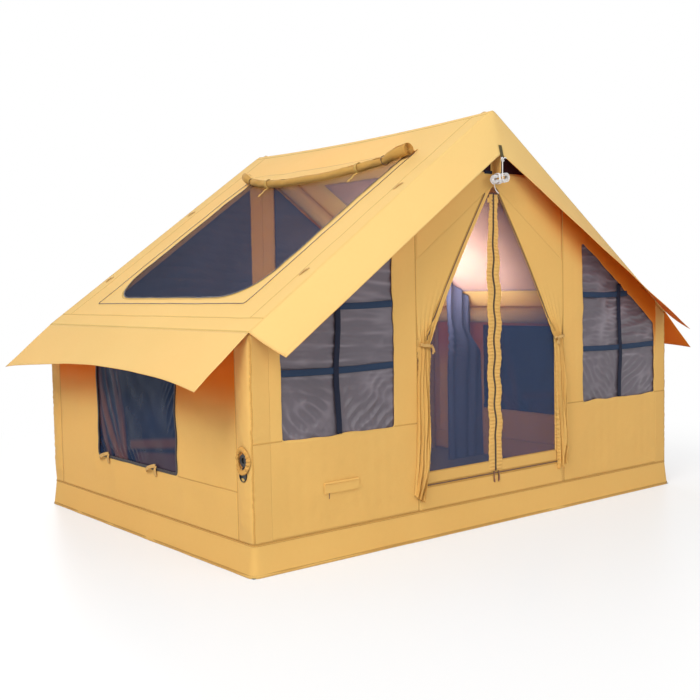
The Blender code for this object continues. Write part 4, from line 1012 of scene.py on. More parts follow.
def flap_surface(side):
    def at(y, down, out=0.0):
        """Eave flap: y along the eave, down its slope; its hem waves a little and its middle sags."""
        y, down = both(y, down)
        share = down / FLAP_TIP
        wave = 0.003 * np.sin(2 * math.pi * y / 0.9 + 0.8) + ripple(y, down, 41 + side, 0.24, 0.0014)
        wave = share * wave
        lift = wave - 0.012 * np.sin(math.pi * np.clip(share, 0, 1)) * (1 - (y / HALF_DEPTH) ** 2) + out
        slope_x, slope_z = FLAP_OUT / FLAP_TIP, -FLAP_DROP / FLAP_TIP
        x = HALF_WIDTH + slope_x * down - slope_z * lift
        z = EAVE_HEIGHT + slope_z * down + slope_x * lift
        return stacked(side * x, y, z)
    return at


AWNING_APEX_OUT = 0.057
AWNING_APEX_DROP = 0.23
AWNING_TIP_OUT = 0.20
AWNING_TIP_INSET = 0.05
AWNING_TIP_DROP = 0.10


def awning_surface(end):
    def at(share, down, out=0.0):
        """Awning band: share from -1 at the left tip to 1 at the right one, down from rake to hem."""
        share, down = both(share, down)
        far = np.abs(share)
        rake_x = share * HALF_WIDTH
        rake = stacked(rake_x, HALF_DEPTH + 0 * far, roof_line(rake_x) + ridge_drop(rake_x))
        hem_x = share * (HALF_WIDTH - AWNING_TIP_INSET)
        drop = RIDGE_HEIGHT - AWNING_APEX_DROP + ridge_drop(hem_x)
        hem_z = drop + far * (EAVE_HEIGHT - AWNING_TIP_DROP - RIDGE_HEIGHT + AWNING_APEX_DROP)
        hem = stacked(hem_x, HALF_DEPTH + AWNING_APEX_OUT + far * (AWNING_TIP_OUT - AWNING_APEX_OUT), hem_z)
        wave = ease((1 - far) / 0.1) * ease(far / 0.1)
        wave = down * (wave * ripple(share * 1.8, down * 0.2, 51 + end, 0.42, 0.0013))
        sag = -0.006 * np.sin(math.pi * np.clip(down, 0, 1)) * ease(far / 0.2)
        outward = unit(stacked(0.25 * np.sign(share) * ease(far / 0.1), 0.8 + 0 * far, 0.25 + 0.5 * far))
        points = rake * (1 - down)[..., None] + hem * down[..., None]
        points = points + outward * (0.0015 + wave + sag + out)[..., None]
        points[..., 1] *= end
        return points
    return at


# Roof


def skylight_edge(grow, per_side):
    """The skylight's wandering outline, grown by a distance."""
    half = SKYLIGHT_HALF + grow
    corners = rectangle(-half, half, SKYLIGHT_TOP - grow, SKYLIGHT_FOOT + grow)
    top_round, foot_round = 0.025 + grow / 2, 0.24 + grow
    outline = loop(corners, (top_round, top_round, foot_round, foot_round), per_side)
    return wavy(outline, 18, 0.0012, 0.16)


SKYLIGHT_LAP = 0.012
ZIP_SIDE = 0.762
ZIP_TOP = 0.32
ZIP_FOOT = 1.636


def roof_half(side, side_name):
    """A slope's cloth with its skylight, the zip and the piping round that, seams and guy rope tabs."""
    at = roof_surface(side)
    facing = (side * ROOF_SIN, 0, ROOF_COS)
    edge = loop(rectangle(-HALF_DEPTH, HALF_DEPTH, 0, ROOF_LENGTH), (0,) * 4, 110)
    roof = add(f"roof_{side_name}", panel(at, skylight_edge(0, 110), edge, 32, facing), ROOF_CLOTH,
               thick=CLOTH, stands_for=[f"roof_panel_{side_name}"])
    half = SKYLIGHT_HALF + SKYLIGHT_LAP
    corners = rectangle(-half, half, SKYLIGHT_TOP - SKYLIGHT_LAP, SKYLIGHT_FOOT + SKYLIGHT_LAP)
    pane = sheet_patch(at, corners, 70, 60, facing, SKYLIGHT_OUT)
    # The right skylight's pale pink film is painted light, for the glow behind it.
    add(f"skylight_{side_name}", pane, SKY_FILM if side < 0 else PAINTED_GLOW_FILM,
        thick=FILM_THICK, stands_for=[f"skylight_film_{side_name}"])
    zip_corners = rectangle(-ZIP_SIDE, ZIP_SIDE, ZIP_TOP, ZIP_FOOT)
    zip_path = loop(zip_corners, (0.03, 0.03, 0.012, 0.012), 130)[130:]
    add(f"skylight_zip_tape_{side_name}", band(at, zip_path, 0.026, 0.0010), ROOF_CLOTH)
    add(f"skylight_zip_{side_name}", band(at, zip_path, 0.0055, 0.0034), BROWN_TEETH)
    piping = band(at, skylight_edge(0.001, 130), 0.007, 0.0024, closed=True)
    add(f"skylight_piping_{side_name}", piping, DARK_TEETH)
    seams = [band(at, skylight_edge(0.011, 130), 0.010, 0.0010, closed=True)]
    seams += [straight_seam(at, (y, 0.045), (y, 1.743), 90) for y in (-0.94, 0.94)]
    far = HALF_DEPTH - 0.004
    seams += [straight_seam(at, (-far, down), (far, down), 90) for down in (0.045, 1.743, 1.836)]
    add(f"roof_seams_{side_name}", seams, ROOF_SEAM)
    t = np.linspace(-1, 1, 24)
    arch = 0.001 + 0.005 * np.cos(t * math.pi / 2) ** 2
    tabs = []
    for y, down in ((-0.965, 0.70), (-0.965, 1.40), (1.0, 0.70), (1.0, 1.40)):
        path = np.stack([y + 0.012 * t, down + 0.026 * t], -1)
        tabs.append(band(at, path, TAB_WIDTH, 0.0014, lift=arch, sunk=0.0004))
    add(f"guy_tabs_{side_name}", tabs, TAN_STRAP)


def closed_cover(side, side_name):
    """The cover zipped shut over the right skylight, sagging with the roof."""
    at = roof_surface(side)
    half, top, foot = SKYLIGHT_HALF + 0.055, SKYLIGHT_TOP - 0.055, SKYLIGHT_FOOT + 0.052

    def slack(y, down, out=0.0):
        edge = ease((half - np.abs(y)) / 0.10) * ease((down - top) / 0.10) * ease((foot - down) / 0.10)
        return at(y, down, out + edge * (0.002 + ripple(y, down, 68, 0.30, 0.0018)))

    corners = rectangle(-half, half, top, foot)
    cloth = sheet_patch(slack, corners, 90, 80, (side * ROOF_SIN, 0, ROOF_COS), 0.0036)
    cover = add(f"skylight_cover_{side_name}_cloth", cloth, ROOF_CLOTH, thick=THIN_CLOTH,
                stands_for=[f"skylight_cover_{side_name}"])


def sagging_ridge_beam():
    """The ridge's air beam, round, and bowed down with the roof that hangs on it."""
    low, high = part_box("ridge_beam")
    radius = (high[2] - low[2]) / 2
    y = np.linspace(low[1], high[1], 60)
    path = stacked((low[0] + high[0]) / 2, y, (low[2] + high[2]) / 2 - ridge_sag(y))
    beam = tube(path, radius, 40)
    add("sagging_ridge_beam", beam, BEAM_SKIN, stands_for=["ridge_beam"])


ROLL_HALF = SKYLIGHT_HALF + 0.06
ROLL_TOP = 0.36
ROLL_SAG = 0.150
ROLL_SAG_POWER = 2.6
ROLL_TURNS = 4.6
ROLL_CORE = 0.005
ROLL_CLEAR = 0.0022
COVER_SEAM = 0.30


def roll_radius(y):
    """Slack in the middle, and fatter past the end ties, where it springs open."""
    far = np.abs(y) / ROLL_HALF
    return 0.0270 + 0.0100 * ease((far - 0.80) / 0.13) - 0.0040 * np.exp(-(((far - 0.81) / 0.025) ** 2))


def roll_down(y):
    return ROLL_TOP + ROLL_SAG * (1 - np.abs(y / ROLL_HALF) ** ROLL_SAG_POWER)


def cover_roll(side, side_name):
    """The rolled cover: a spiral of cloth along a sagging line, with twisted folds in its outer turns."""
    at = roof_surface(side)
    y = np.linspace(-ROLL_HALF, ROLL_HALF, 201)[:, None]
    turn = np.linspace(0, 2 * math.pi * ROLL_TURNS, 180)[None, :]
    share = turn / turn.max()
    outer = roll_radius(y)
    radius = ROLL_CORE + (outer - 0.0012 - ROLL_CORE) * share
    angle = turn + 0.9 + 0.35 * np.sin(2.2 * y) * share
    twist = np.sin(3 * angle + 46 * y) * 0.55 + np.sin(2 * angle - 63 * y + 1.0) * 0.35
    folds = 0.30 + 0.70 * np.exp(-(((np.abs(y) - 0.52) / 0.16) ** 2))
    slack = folds * 0.0052 * twist + ripple(y, angle * 0.02, 61 + side, 0.13, 0.0016) - 0.0024
    radius = radius + ease((share - 0.72) / 0.28) * slack
    radius = radius - 0.0015 * ease((share - 0.97) / 0.03)
    down = roll_down(y) + radius * np.cos(angle)
    out = outer + ROLL_CLEAR + radius * np.sin(angle)
    cloth = turned(grid(at(y + 0 * turn, down, out)), (0, 0, 0.001))
    # The roll's darker cloth is painted shade.
    roll = add(f"cover_roll_{side_name}", cloth, PAINTED_SHADE_ROLL_CLOTH, thick=THIN_CLOTH,
               stands_for=[f"skylight_cover_roll_{side_name}"])


def cover_apron(side, side_name):
    """The cloth between the rolled cover and its seam below the ridge, and that seam."""
    at = roof_surface(side)

    def apron_at(y, share, out=0.0):
        """The cloth from its seam, at share 0, down and over to the roll at 1."""
        y, share = both(y, share)
        outer = roll_radius(y)
        down = COVER_SEAM + (roll_down(y) - 0.35 * outer - COVER_SEAM) * share
        lift = 0.0016 + 0.0045 * ease(share / 0.18) + (2 * outer - 0.009) * ease((share - 0.35) / 0.65) ** 1.5
        lift = lift + 0.0022 * np.sin(math.pi * share) * ripple(y, share * 0.2, 64 + side, 0.17, 1.0)
        return at(y, down, lift + out)

    y = np.linspace(-ROLL_HALF + 0.004, ROLL_HALF - 0.004, 150)[:, None]
    share = np.linspace(0, 1, 26)[None, :]
    cloth = turned(grid(apron_at(y, share)), (side * ROOF_SIN, 0, ROOF_COS))
    apron_piece = add(f"cover_apron_{side_name}", cloth, ROOF_CLOTH, thick=THIN_CLOTH)
    ends = np.linspace(-ROLL_HALF + 0.006, ROLL_HALF - 0.006, 120)
    stitches = band(apron_at, np.stack([ends, 0.07 + 0 * ends], -1), 0.005, SEAM_HEIGHT)
    add(f"cover_seam_{side_name}", stitches, ROOF_SEAM)


def cover_ties(side, side_name):
    """Two flat ties with hanging ends, and a cord round each end of the roll."""
    at = roof_surface(side)

    def round_roll(place, turn, gap, sway, low):
        """A ring round the roll at a place along it, that stays above the roof."""
        reach = roll_radius(place) + gap
        out = np.maximum(roll_radius(place) + ROLL_CLEAR + reach * np.sin(turn), low)
        return at(place + sway * np.sin(turn), roll_down(place) + reach * np.cos(turn), out)

    ties = []
    for place in (0.36, -0.46):
        turn = np.linspace(-0.6, 2 * math.pi - 1.9, 60)
        ring = round_roll(place, turn, 0.0016, 0.004, 0.0016)
        middle = at(place + 0 * turn, roll_down(place) + 0 * turn, roll_radius(place) + 0 * turn)
        ties.append(sweep(ring, unit(ring - middle), strap_profile(0.020, 0.0014, 0.0008)))
        t = np.linspace(0, 1, 30)
        down = roll_down(place) + (roll_radius(place) + 0.0016) * 0.9 + 0.070 * t
        height = 0.0040 + 0.012 * (1 - t) ** 2 + 0.0035 * np.sin(6 * t) ** 2
        hanging = np.stack([place + 0.020 * np.sin(2.2 * t), down], -1)
        ties.append(band(at, hanging, TAB_WIDTH, 0.0014, lift=height, sunk=0.0004))
    turn = np.linspace(0, 2 * math.pi, 48, endpoint=False)
    cords = [tube(round_roll(place, turn, 0.0008, 0.006, 0.0020), 0.0022, 8, closed=True)
             for place in (-0.622, 0.618)]
    add(f"cover_ties_{side_name}", ties, ROOF_SEAM)
    add(f"cover_end_cords_{side_name}", cords, BROWN_TEETH)


def hemmed(at, hem, ends, height, name):
    """A hem along a cloth's free edge and up its two ends."""
    bands = [band(at, path, HEM_WIDTH, height) for path in (hem, *ends)]
    add(name, bands, FLAP_CLOTH)


def eave_flap(side, side_name):
    at = flap_surface(side)
    y = np.linspace(-HALF_DEPTH, HALF_DEPTH, 160)[:, None]
    down = np.linspace(0, 1, 30)[None, :] * flap_length(y)
    chart = np.stack(np.broadcast_arrays(y, down), -1)
    cloth = turned(grid(at(y, down), chart), (side * FLAP_DROP, 0, FLAP_OUT))
    flap = add(f"eave_flap_cloth_{side_name}", cloth, FLAP_CLOTH, thick=CLOTH,
               stands_for=[f"eave_flap_{side_name}"])
    edge = np.linspace(-HALF_DEPTH + 0.004, HALF_DEPTH - 0.004, 120)
    far = HALF_DEPTH - 0.009
    ends = [line((s * far, 0.005), (s * far, FLAP_TIP - 0.008), 30) for s in (-1, 1)]
    hemmed(at, np.stack([edge, flap_length(edge) - 0.009], -1), ends, 0.0007, f"eave_flap_hem_{side_name}")


def awning(end, end_name):
    at = awning_surface(end)
    share = np.linspace(-1, 1, 301)[:, None]
    down = np.linspace(0, 1, 24)[None, :]
    chart = np.stack(np.broadcast_arrays(share * ROOF_LENGTH, down * AWNING_APEX_DROP), -1)
    cloth = turned(grid(at(share, down), chart), (0, end, 1))
    piece = add(f"awning_{end_name}", cloth, FLAP_CLOTH, thick=CLOTH,
                stands_for=[f"awning_{end_name}_left", f"awning_{end_name}_right"])
    edge = np.linspace(-0.995, 0.995, 260)
    ends = [line((s * 0.994, 0.03), (s * 0.994, 0.96), 20) for s in (-1, 1)]
    hemmed(at, np.stack([edge, 0.955 + 0 * edge], -1), ends, 0.0006, f"awning_hem_{end_name}")


for side, side_name in SIDES:
    roof_half(side, side_name)
    eave_flap(side, side_name)
for make in (cover_roll, cover_apron, cover_ties):
    make(-1, "left")
closed_cover(1, "right")
for end, end_name in ENDS:
    awning(end, end_name)
sagging_ridge_beam()


# Walls


def painted_window_streaks(y, z):
    """0 to 1: painted light, brown streaks that fan out from the side window's rear upper corner, and a band
    at its foot, for the lit inside seen through the film.
    """
    a, t = (0.44 - y) / 0.84, (0.87 - z) / 0.51
    streaks = 0.0
    for start, lean, bend, half, depth in (
        (0.020, 0.05, 0.19, 0.034, 0.95), (-0.045, 0.10, 0.06, 0.022, 0.70),
        (0.185, 0.20, -0.045, 0.026, 0.55), (0.095, 0.16, 0.05, 0.010, 0.45),
        (0.255, 0.13, -0.02, 0.014, 0.35),
    ):
        off = a - start - lean * t - bend * t * t + 0.012 * np.sin(5 * t + 9 * start)
        streaks = streaks + depth * np.exp(-((off / (half + 0.012 * t)) ** 4)) * (0.55 + 0.45 * ease(t / 0.5))
    middle = 0.452 + 0.10 * (a - 0.42)
    level = np.exp(-(((z - middle) / 0.024) ** 4)) * ease((a - 0.40) / 0.04) * 0.62
    foot = ease((0.430 + 0.08 * (a - 0.5) - z) / 0.02) * ease((a - 0.44) / 0.10) * 0.40
    return np.clip(streaks + level + foot, 0, 1)


def side_window_outline(per_side):
    """The side window's outline, whose upright edges wander by about a centimetre."""
    outline = loop(SIDE_WINDOW, SIDE_WINDOW_ROUND, per_side)
    shift = ripple(0 * outline[:, 0], outline[:, 1], 77, 0.20, 0.0060) * np.sign(outline[:, 0])
    return outline + np.stack([shift * ease((outline[:, 1] - 0.355) / 0.08), 0 * shift], -1)


SIDE_SEAM_HEIGHT = 0.355
SIDE_PANE = (-0.420, 0.456, 0.349, 0.946)


def wall_side(side, side_name):
    """A side wall with its window's pane and piping, its seams and the two toggles under the window."""
    at = side_surface(side)
    facing = (side, 0, 0)
    edge = loop(rectangle(-SLEEVE_Y, SLEEVE_Y, SKIRT_HEIGHT, WALL_TOP), (0,) * 4, 70)
    cloth = panel(at, side_window_outline(70), edge, 30, facing)
    wall = add(f"wall_{side_name}", cloth, WALL_CLOTH, thick=CLOTH,
               stands_for=[f"side_wall_{side_name}"])

    def pane_at(y, z, out=0.0):
        """Slack film: folds down its painted streaks, and short ones along its foot and by its rear upper
        corner.
        """
        foot = 0.0030 * np.sin(2 * math.pi * (y - 0.7 * z) / 0.050 + 2 * np.sin(9 * y))
        foot = foot * ease((0.455 - z) / 0.07) * ease((y + 0.10) / 0.15)
        corner = long_folds(y, z, 73, 0.080, 0.5, 0.0035) * ease((-0.24 - y) / 0.12) * ease((z - 0.52) / 0.10)
        relief = 0.0030 * painted_window_streaks(y, z) + ripple(y, z, 71 + side, 0.16, 0.0008)
        return at(y, z, out + foot + corner + relief)

    pane = sheet_patch(pane_at, rectangle(*SIDE_PANE), 150, 120, facing, SIDE_PANE_OUT)
    # The film's brown streaks are painted light: the lit inside seen through it.
    add(f"side_window_{side_name}", pane, DARK_FILM, thick=FILM_THICK,
        stands_for=[f"side_window_film_{side_name}"], painted_light_share=painted_window_streaks(pane[0][:, 1], pane[0][:, 2]))
    piping = band(at, side_window_outline(90), 0.015, 0.0030, closed=True)
    add(f"side_window_piping_{side_name}", piping, DARK_TEETH)
    seams = [straight_seam(at, (y, WALL_EDGE), (y, WALL_TOP), 60) for y in (-SLEEVE_Y, SLEEVE_Y)]
    seams.append(straight_seam(at, (-SLEEVE_Y, SIDE_SEAM_HEIGHT), (-0.41, SIDE_SEAM_HEIGHT), 40))
    add(f"wall_seams_{side_name}", seams, WALL_SEAM)
    t = np.linspace(0, 1, 30)
    arch = np.sin(math.pi * t)
    toggles = []
    for y in (0.328, -0.197):
        bar = np.stack([y + 0.100 * t, 0.378 - 0.034 * t**1.3], -1)
        toggles.append(band(at, bar, TAB_WIDTH, 0.0018, lift=0.003 + 0.016 * arch**0.7))
        keeper = np.stack([y + 0.002 - 0.004 * t, 0.376 - 0.050 * t], -1)
        toggles.append(band(at, keeper, 0.023, 0.0018, lift=0.003 + 0.006 * arch))
    add(f"window_toggles_{side_name}", toggles, TAN_STRAP)


SLIT_HALF_WIDTH = 0.036
SLIT_FOOT = 0.455
SLIT_TOP = 0.545
SLIT_ROUND = 0.030


def corner_sleeve(side, end, name, with_slit):
    """The cloth over a corner's air beam, in one of them with the valve's slit, and the seam down it."""
    at = corner_surface(side, end, with_slit)
    facing = (side, end, 0)
    whole = rectangle(0, SLEEVE_LENGTH, SKIRT_HEIGHT, WALL_TOP)
    if with_slit:
        middle = POST_Y - SLEEVE_Y
        slit = rectangle(middle - SLIT_HALF_WIDTH, middle + SLIT_HALF_WIDTH, SLIT_FOOT, SLIT_TOP)
        cloth = panel(at, loop(slit, (SLIT_ROUND,) * 4, 110), loop(whole, (0,) * 4, 110), 36, facing)
    else:
        cloth = sheet_patch(at, whole, 52, 210, facing)
    add(f"corner_sleeve_{name}", cloth, TRIM_CLOTH, thick=CLOTH)
    z = np.linspace(WALL_EDGE, WALL_TOP - 0.004, 150)
    path = np.stack([CORNER_SEAM + ripple(z, 0 * z, 45, 0.07, 0.0012), z], -1)
    add(f"corner_seam_{name}", band(at, path, 0.008, 0.0016), WALL_SEAM)


def gable_quad(inner, outer, low, below):
    return [(inner, low), (outer, low), (outer, roof_line(outer) - below), (inner, roof_line(inner) - below)]


def mirrored(corners, side):
    return [(side * x, z) for x, z in corners]


def window_folds(side, middle, seed):
    """Relief of a gable window's film: level folds above, and below them folds down to its upright strap."""
    def fold(x, z):
        away = np.abs(x) - middle
        level = long_folds(x, z, seed, 0.105, math.pi / 2, 0.0042, spread=0.22)
        fine = long_folds(x, z, seed + 1, 0.045, math.pi / 2 - 0.2, 0.0016, spread=0.4)
        inward = long_folds(x, z, seed + 2, 0.080, math.pi / 2 - side * 0.70, 0.0042, spread=0.50, waves=6)
        outward = long_folds(x, z, seed + 3, 0.080, math.pi / 2 + side * 0.70, 0.0042, spread=0.50, waves=6)
        low = ease((0.90 - z) / 0.22)
        slant = np.where(away < 0, inward, outward) * ease(np.abs(away) / 0.06)
        crinkle = ripple(x, z, seed + 4, 0.035, 0.0007) * ease((0.70 - z) / 0.10)
        return (level + fine) * (1 - low) + slant * low + crinkle
    return fold


def painted_fold_highlight(fold, pane):
    """0 to 1: painted highlights, where a film's folds stand out and catch the light."""
    relief = fold(pane[0][:, 0], pane[0][:, 2])
    patchy = 0.55 + ripple(pane[0][:, 0], pane[0][:, 2], 191, 0.30, 0.45)
    return np.clip((relief / 0.0030 - 0.20) * patchy, 0, 1) * 0.60


def gable_hole(side, inner, outer, per_side, seed, height, length):
    """A gable window's wandering outline."""
    corners = mirrored(gable_quad(inner, outer, WINDOW_FOOT, WINDOW_BELOW_ROOF), side)
    return wavy(loop(corners, (WINDOW_ROUND,) * 4, per_side), seed, height, length)


def gable_pane(side, inner, outer):
    """The corners of the film behind a gable window, past its edge all round."""
    return mirrored(gable_quad(inner - 0.014, outer + 0.014, PANE_FOOT, PANE_BELOW_ROOF), side)


SEAM_OVER_FOOT = 0.572
LOW_STRAP = 0.865


def front_half(side, side_name):
    """The front wall beside the door: cloth, window film, webbing, seams and the gore over the door."""
    at = gable_surface(-1)
    facing = (0, -1, 0)
    inner, outer, middle, high = FRONT_WINDOWS[side]
    hole = gable_hole(side, inner, outer, 90, 85, 0.0030, 0.16)
    edge = loop(mirrored(gable_quad(DOOR_HALF, SLEEVE_X, SKIRT_HEIGHT, UNDER_ROOF), side), (0,) * 4, 90)
    wall = add(f"front_cloth_{side_name}", panel(at, hole, edge, 30, facing), WALL_CLOTH,
               thick=CLOTH, stands_for=[f"front_wall_{side_name}"])
    fold = window_folds(side, middle, 181 + side)

    def pane_at(x, z, out=0.0):
        return at(x, z, out + fold(x, z) + ripple(x, z, 81 + side, 0.09, 0.0005))

    pane = sheet_patch(pane_at, gable_pane(side, inner, outer), 130, 160, facing, GABLE_PANE_OUT)
    # Painted highlights on the film's folds.
    add(f"front_window_{side_name}", pane, GREY_FILM, thick=FILM_THICK,
        stands_for=[f"front_window_film_{side_name}"], painted_light_share=painted_fold_highlight(fold, pane))
    t = np.linspace(0, 1, 60)
    foot, top = SEAM_OVER_FOOT, roof_line(middle) - WINDOW_BELOW_ROOF - 0.003
    x = side * (middle + 0.010 * np.sin(math.pi * t) * np.sin(5.5 * t - 0.4))
    upright = band(at, np.stack([x, foot + (top - foot) * t], -1), STRAP_WIDTH, 0.0016, lift=0.0002)
    under_roof = (RIDGE_HEIGHT - WINDOW_BELOW_ROOF - high - 0.004) / SLOPE
    for level, z, end in (("low", LOW_STRAP, outer - 0.002), ("high", high, under_roof)):
        x = side * (inner + 0.002 + (end - inner - 0.002) * t)
        path = np.stack([x, z - 0.006 * np.sin(math.pi * t)], -1)
        cross = band(at, path, STRAP_WIDTH, 0.0014, lift=-0.0012)
        add(f"cross_strap_{side_name}_{level}", cross, BLUE_STRAP)
    add(f"window_straps_{side_name}", upright, NAVY_STRAP,
        stands_for=[f"front_window_webbing_{side_name}"])
    door = side * (DOOR_HALF + 0.004)
    seams = [straight_seam(at, (door, foot), (side * inner, foot), 20),
             straight_seam(at, (side * outer, foot), (side * 1.490, foot), 20),
             straight_seam(at, (door, WALL_EDGE), (door, 1.70), 90)]
    add(f"front_seams_{side_name}", seams, WALL_SEAM)
    vent = [(0.015, 1.80), (0.2523, 1.80), (0.235, 1.8124), (0.015, 1.9693)]
    gore = [(0.0002, DOOR_APEX), (DOOR_HALF, DOOR_APEX - DOOR_HALF * SLOPE),
            (DOOR_HALF, roof_line(DOOR_HALF) - UNDER_ROOF), (0.0002, RIDGE_HEIGHT - UNDER_ROOF - RIDGE_ROUND)]
    hole = loop(mirrored(vent, side), (0.004,) * 4, 40)
    edge = loop(mirrored(gore, side), (0,) * 4, 40)
    cloth = panel(at, hole, edge, 20, facing)
    add(f"gore_{side_name}", cloth, WALL_CLOTH, thick=CLOTH,
        stands_for=[f"front_gore_{side_name}"])


def front_middle():
    """The sill under the door, the vent's net over it and the zip along the sill's upper edge."""
    at = gable_surface(-1)
    sill = sheet_patch(at, rectangle(-DOOR_HALF, DOOR_HALF, SKIRT_HEIGHT, SILL_HEIGHT), 60, 12, (0, -1, 0))
    add("sill_cloth", sill, WALL_CLOTH, thick=CLOTH, stands_for=["front_sill_panel"])
    corners = [(-0.268, 1.789), (0.268, 1.789), (0.012, 1.976), (-0.012, 1.976)]
    vent = sheet_patch(at, corners, 40, 20, (0, -1, 0), VENT_OUT)
    add("vent_net", vent, VENT_NET, thick=NET_THICK, stands_for=["gable_vent_mesh"])
    far, height = DOOR_HALF - 0.004, SILL_HEIGHT - 0.004
    sill_zip = line((-far, height), (far, height), 90)
    add("sill_zip_tape", band(at, sill_zip - (0, 0.004), 0.018, 0.0010), WALL_SEAM)
    add("sill_zip", band(at, sill_zip, 0.007, 0.0024), BROWN_TEETH)


def rear_half(side, side_name):
    """Half of the rear gable: cloth, window film and the seam beside it."""
    at = gable_surface(1)
    facing = (0, 1, 0)
    hole = gable_hole(side, *REAR_WINDOW, 80, 87, 0.0026, 0.13)
    whole = gable_quad(0.0001, SLEEVE_X, SKIRT_HEIGHT, UNDER_ROOF + RIDGE_ROUND)
    cloth = panel(at, hole, loop(mirrored(whole, side), (0,) * 4, 80), 20, facing)
    add(f"rear_cloth_{side_name}", cloth, WALL_CLOTH, thick=CLOTH,
        stands_for=["rear_wall"])
    fold = window_folds(side, 0.68, 187 + side)

    def pane_at(x, z, out=0.0):
        return at(x, z, out + fold(x, z))

    pane = sheet_patch(pane_at, gable_pane(side, *REAR_WINDOW), 110, 170, facing, GABLE_PANE_OUT)
    add(f"rear_window_{side_name}", pane, GREY_FILM, thick=FILM_THICK,
        stands_for=[f"rear_window_film_{side_name}"])
    stitches = straight_seam(at, (side * REAR_WINDOW[1], SEAM_OVER_FOOT), (side * 1.490, SEAM_OVER_FOOT), 50)
    add(f"rear_seams_{side_name}", stitches, WALL_SEAM)


def inner_curtain():
    """The curtain that divides the cabin, drawn in soft folds to the right wall and pulled back low down."""
    low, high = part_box("inner_curtain")
    z = np.linspace(0, 1, 130)[None, :]
    across = np.linspace(0, 1, 120)[:, None]
    about = low[2] + (1.20 - low[2]) * z
    outer = 1.383 + 0.105 * ease((0.955 - about) / 0.10)
    pulled = np.exp(-(((about - 0.80) / 0.13) ** 2))
    x = low[0] + 0.004 + 0.016 * pulled + (outer - low[0] - 0.020 - 0.016 * pulled) * across
    top = roof_line(x) - 0.018
    height = low[2] + 0.003 + (top - low[2] - 0.003) * z
    phase = 2 * math.pi * 3.5 * across + 1.6 * np.sin(2 * z + 3 * across) + 0.8 * np.sin(9 * across)
    folds = 0.018 * np.sin(phase) * (0.45 + 0.55 * ease(np.abs(z - 0.2))) * ease(across / 0.06)
    drag = 0.006 * np.sin(2 * math.pi * (height + 0.35 * x) / 0.052)
    drag = drag * pulled * np.exp(-((across / 0.45) ** 2))
    cloth = turned(grid(stacked(x, (low[1] + high[1]) / 2 + folds + drag + 0 * x, height)), (0, -1, 0))
    piece = add("inner_curtain_cloth", cloth, INNER_CLOTH, thick=THIN_CLOTH,
                stands_for=["inner_curtain"])


def skirt():
    """One strip round the foot of the walls: it flares to the ground in shallow waves."""
    route = loop(rectangle(-HALF_WIDTH, HALF_WIDTH, -HALF_DEPTH, HALF_DEPTH), (CORNER_ROUND,) * 4, 220)
    tangent = unit(np.roll(route, -1, 0) - np.roll(route, 1, 0))
    outward = np.stack([tangent[:, 1], -tangent[:, 0]], -1)
    share = np.linspace(0, 1, 16)[None, :, None]
    steps = np.linalg.norm(np.roll(route, -1, 0) - route, axis=1)
    along = np.concatenate([[0], np.cumsum(steps)[:-1]])[:, None]
    wave = ripple(route[:, :1], route[:, 1:], 91, 0.30, 0.0022)[:, :, None]
    flare = SKIRT_FLARE * share**1.2 + wave * share * (1 - 0.4 * share)
    plan = route[:, None] + outward[:, None] * (flare + 0.0012)
    height = SKIRT_HEIGHT * (1 - share[..., 0]) + 0 * along
    points = np.concatenate([plan, height[..., None]], -1)
    chart = np.stack(np.broadcast_arrays(along, height), -1)
    patch = turned(grid(points, chart, wrap_rows=True))
    piece = add("skirt", patch, WALL_CLOTH, thick=CLOTH,
                stands_for=["skirt_front", "skirt_rear", "skirt_left", "skirt_right"])
    for name, z, height in (("skirt_seam", SKIRT_HEIGHT - 0.004, 0.0012), ("skirt_hem", 0.010, 0.0011)):
        flare = SKIRT_FLARE * (1 - z / SKIRT_HEIGHT) ** 1.2
        ring = np.concatenate([route + outward * (flare + 0.0014), 0 * route[:, :1] + z], -1)
        normals = np.concatenate([outward, 0 * route[:, :1]], -1)
        stitches = sweep(ring, normals, strap_profile(0.008, height), closed=True)
        add(name, stitches, WALL_SEAM)


for side, side_name in SIDES:
    wall_side(side, side_name)
    front_half(side, side_name)
    rear_half(side, side_name)
    for end, end_name in ENDS:
        corner_sleeve(side, end, f"{end_name}_{side_name}", side < 0 and end < 0)
front_middle()
inner_curtain()
skirt()


# Doorway


CURTAIN_FOLDS = 6.2
CURTAIN_TWIST = 2.6
TIE_LEVEL = 0.36
TIE_OUTER = 0.527
TIE_INNER = 0.461


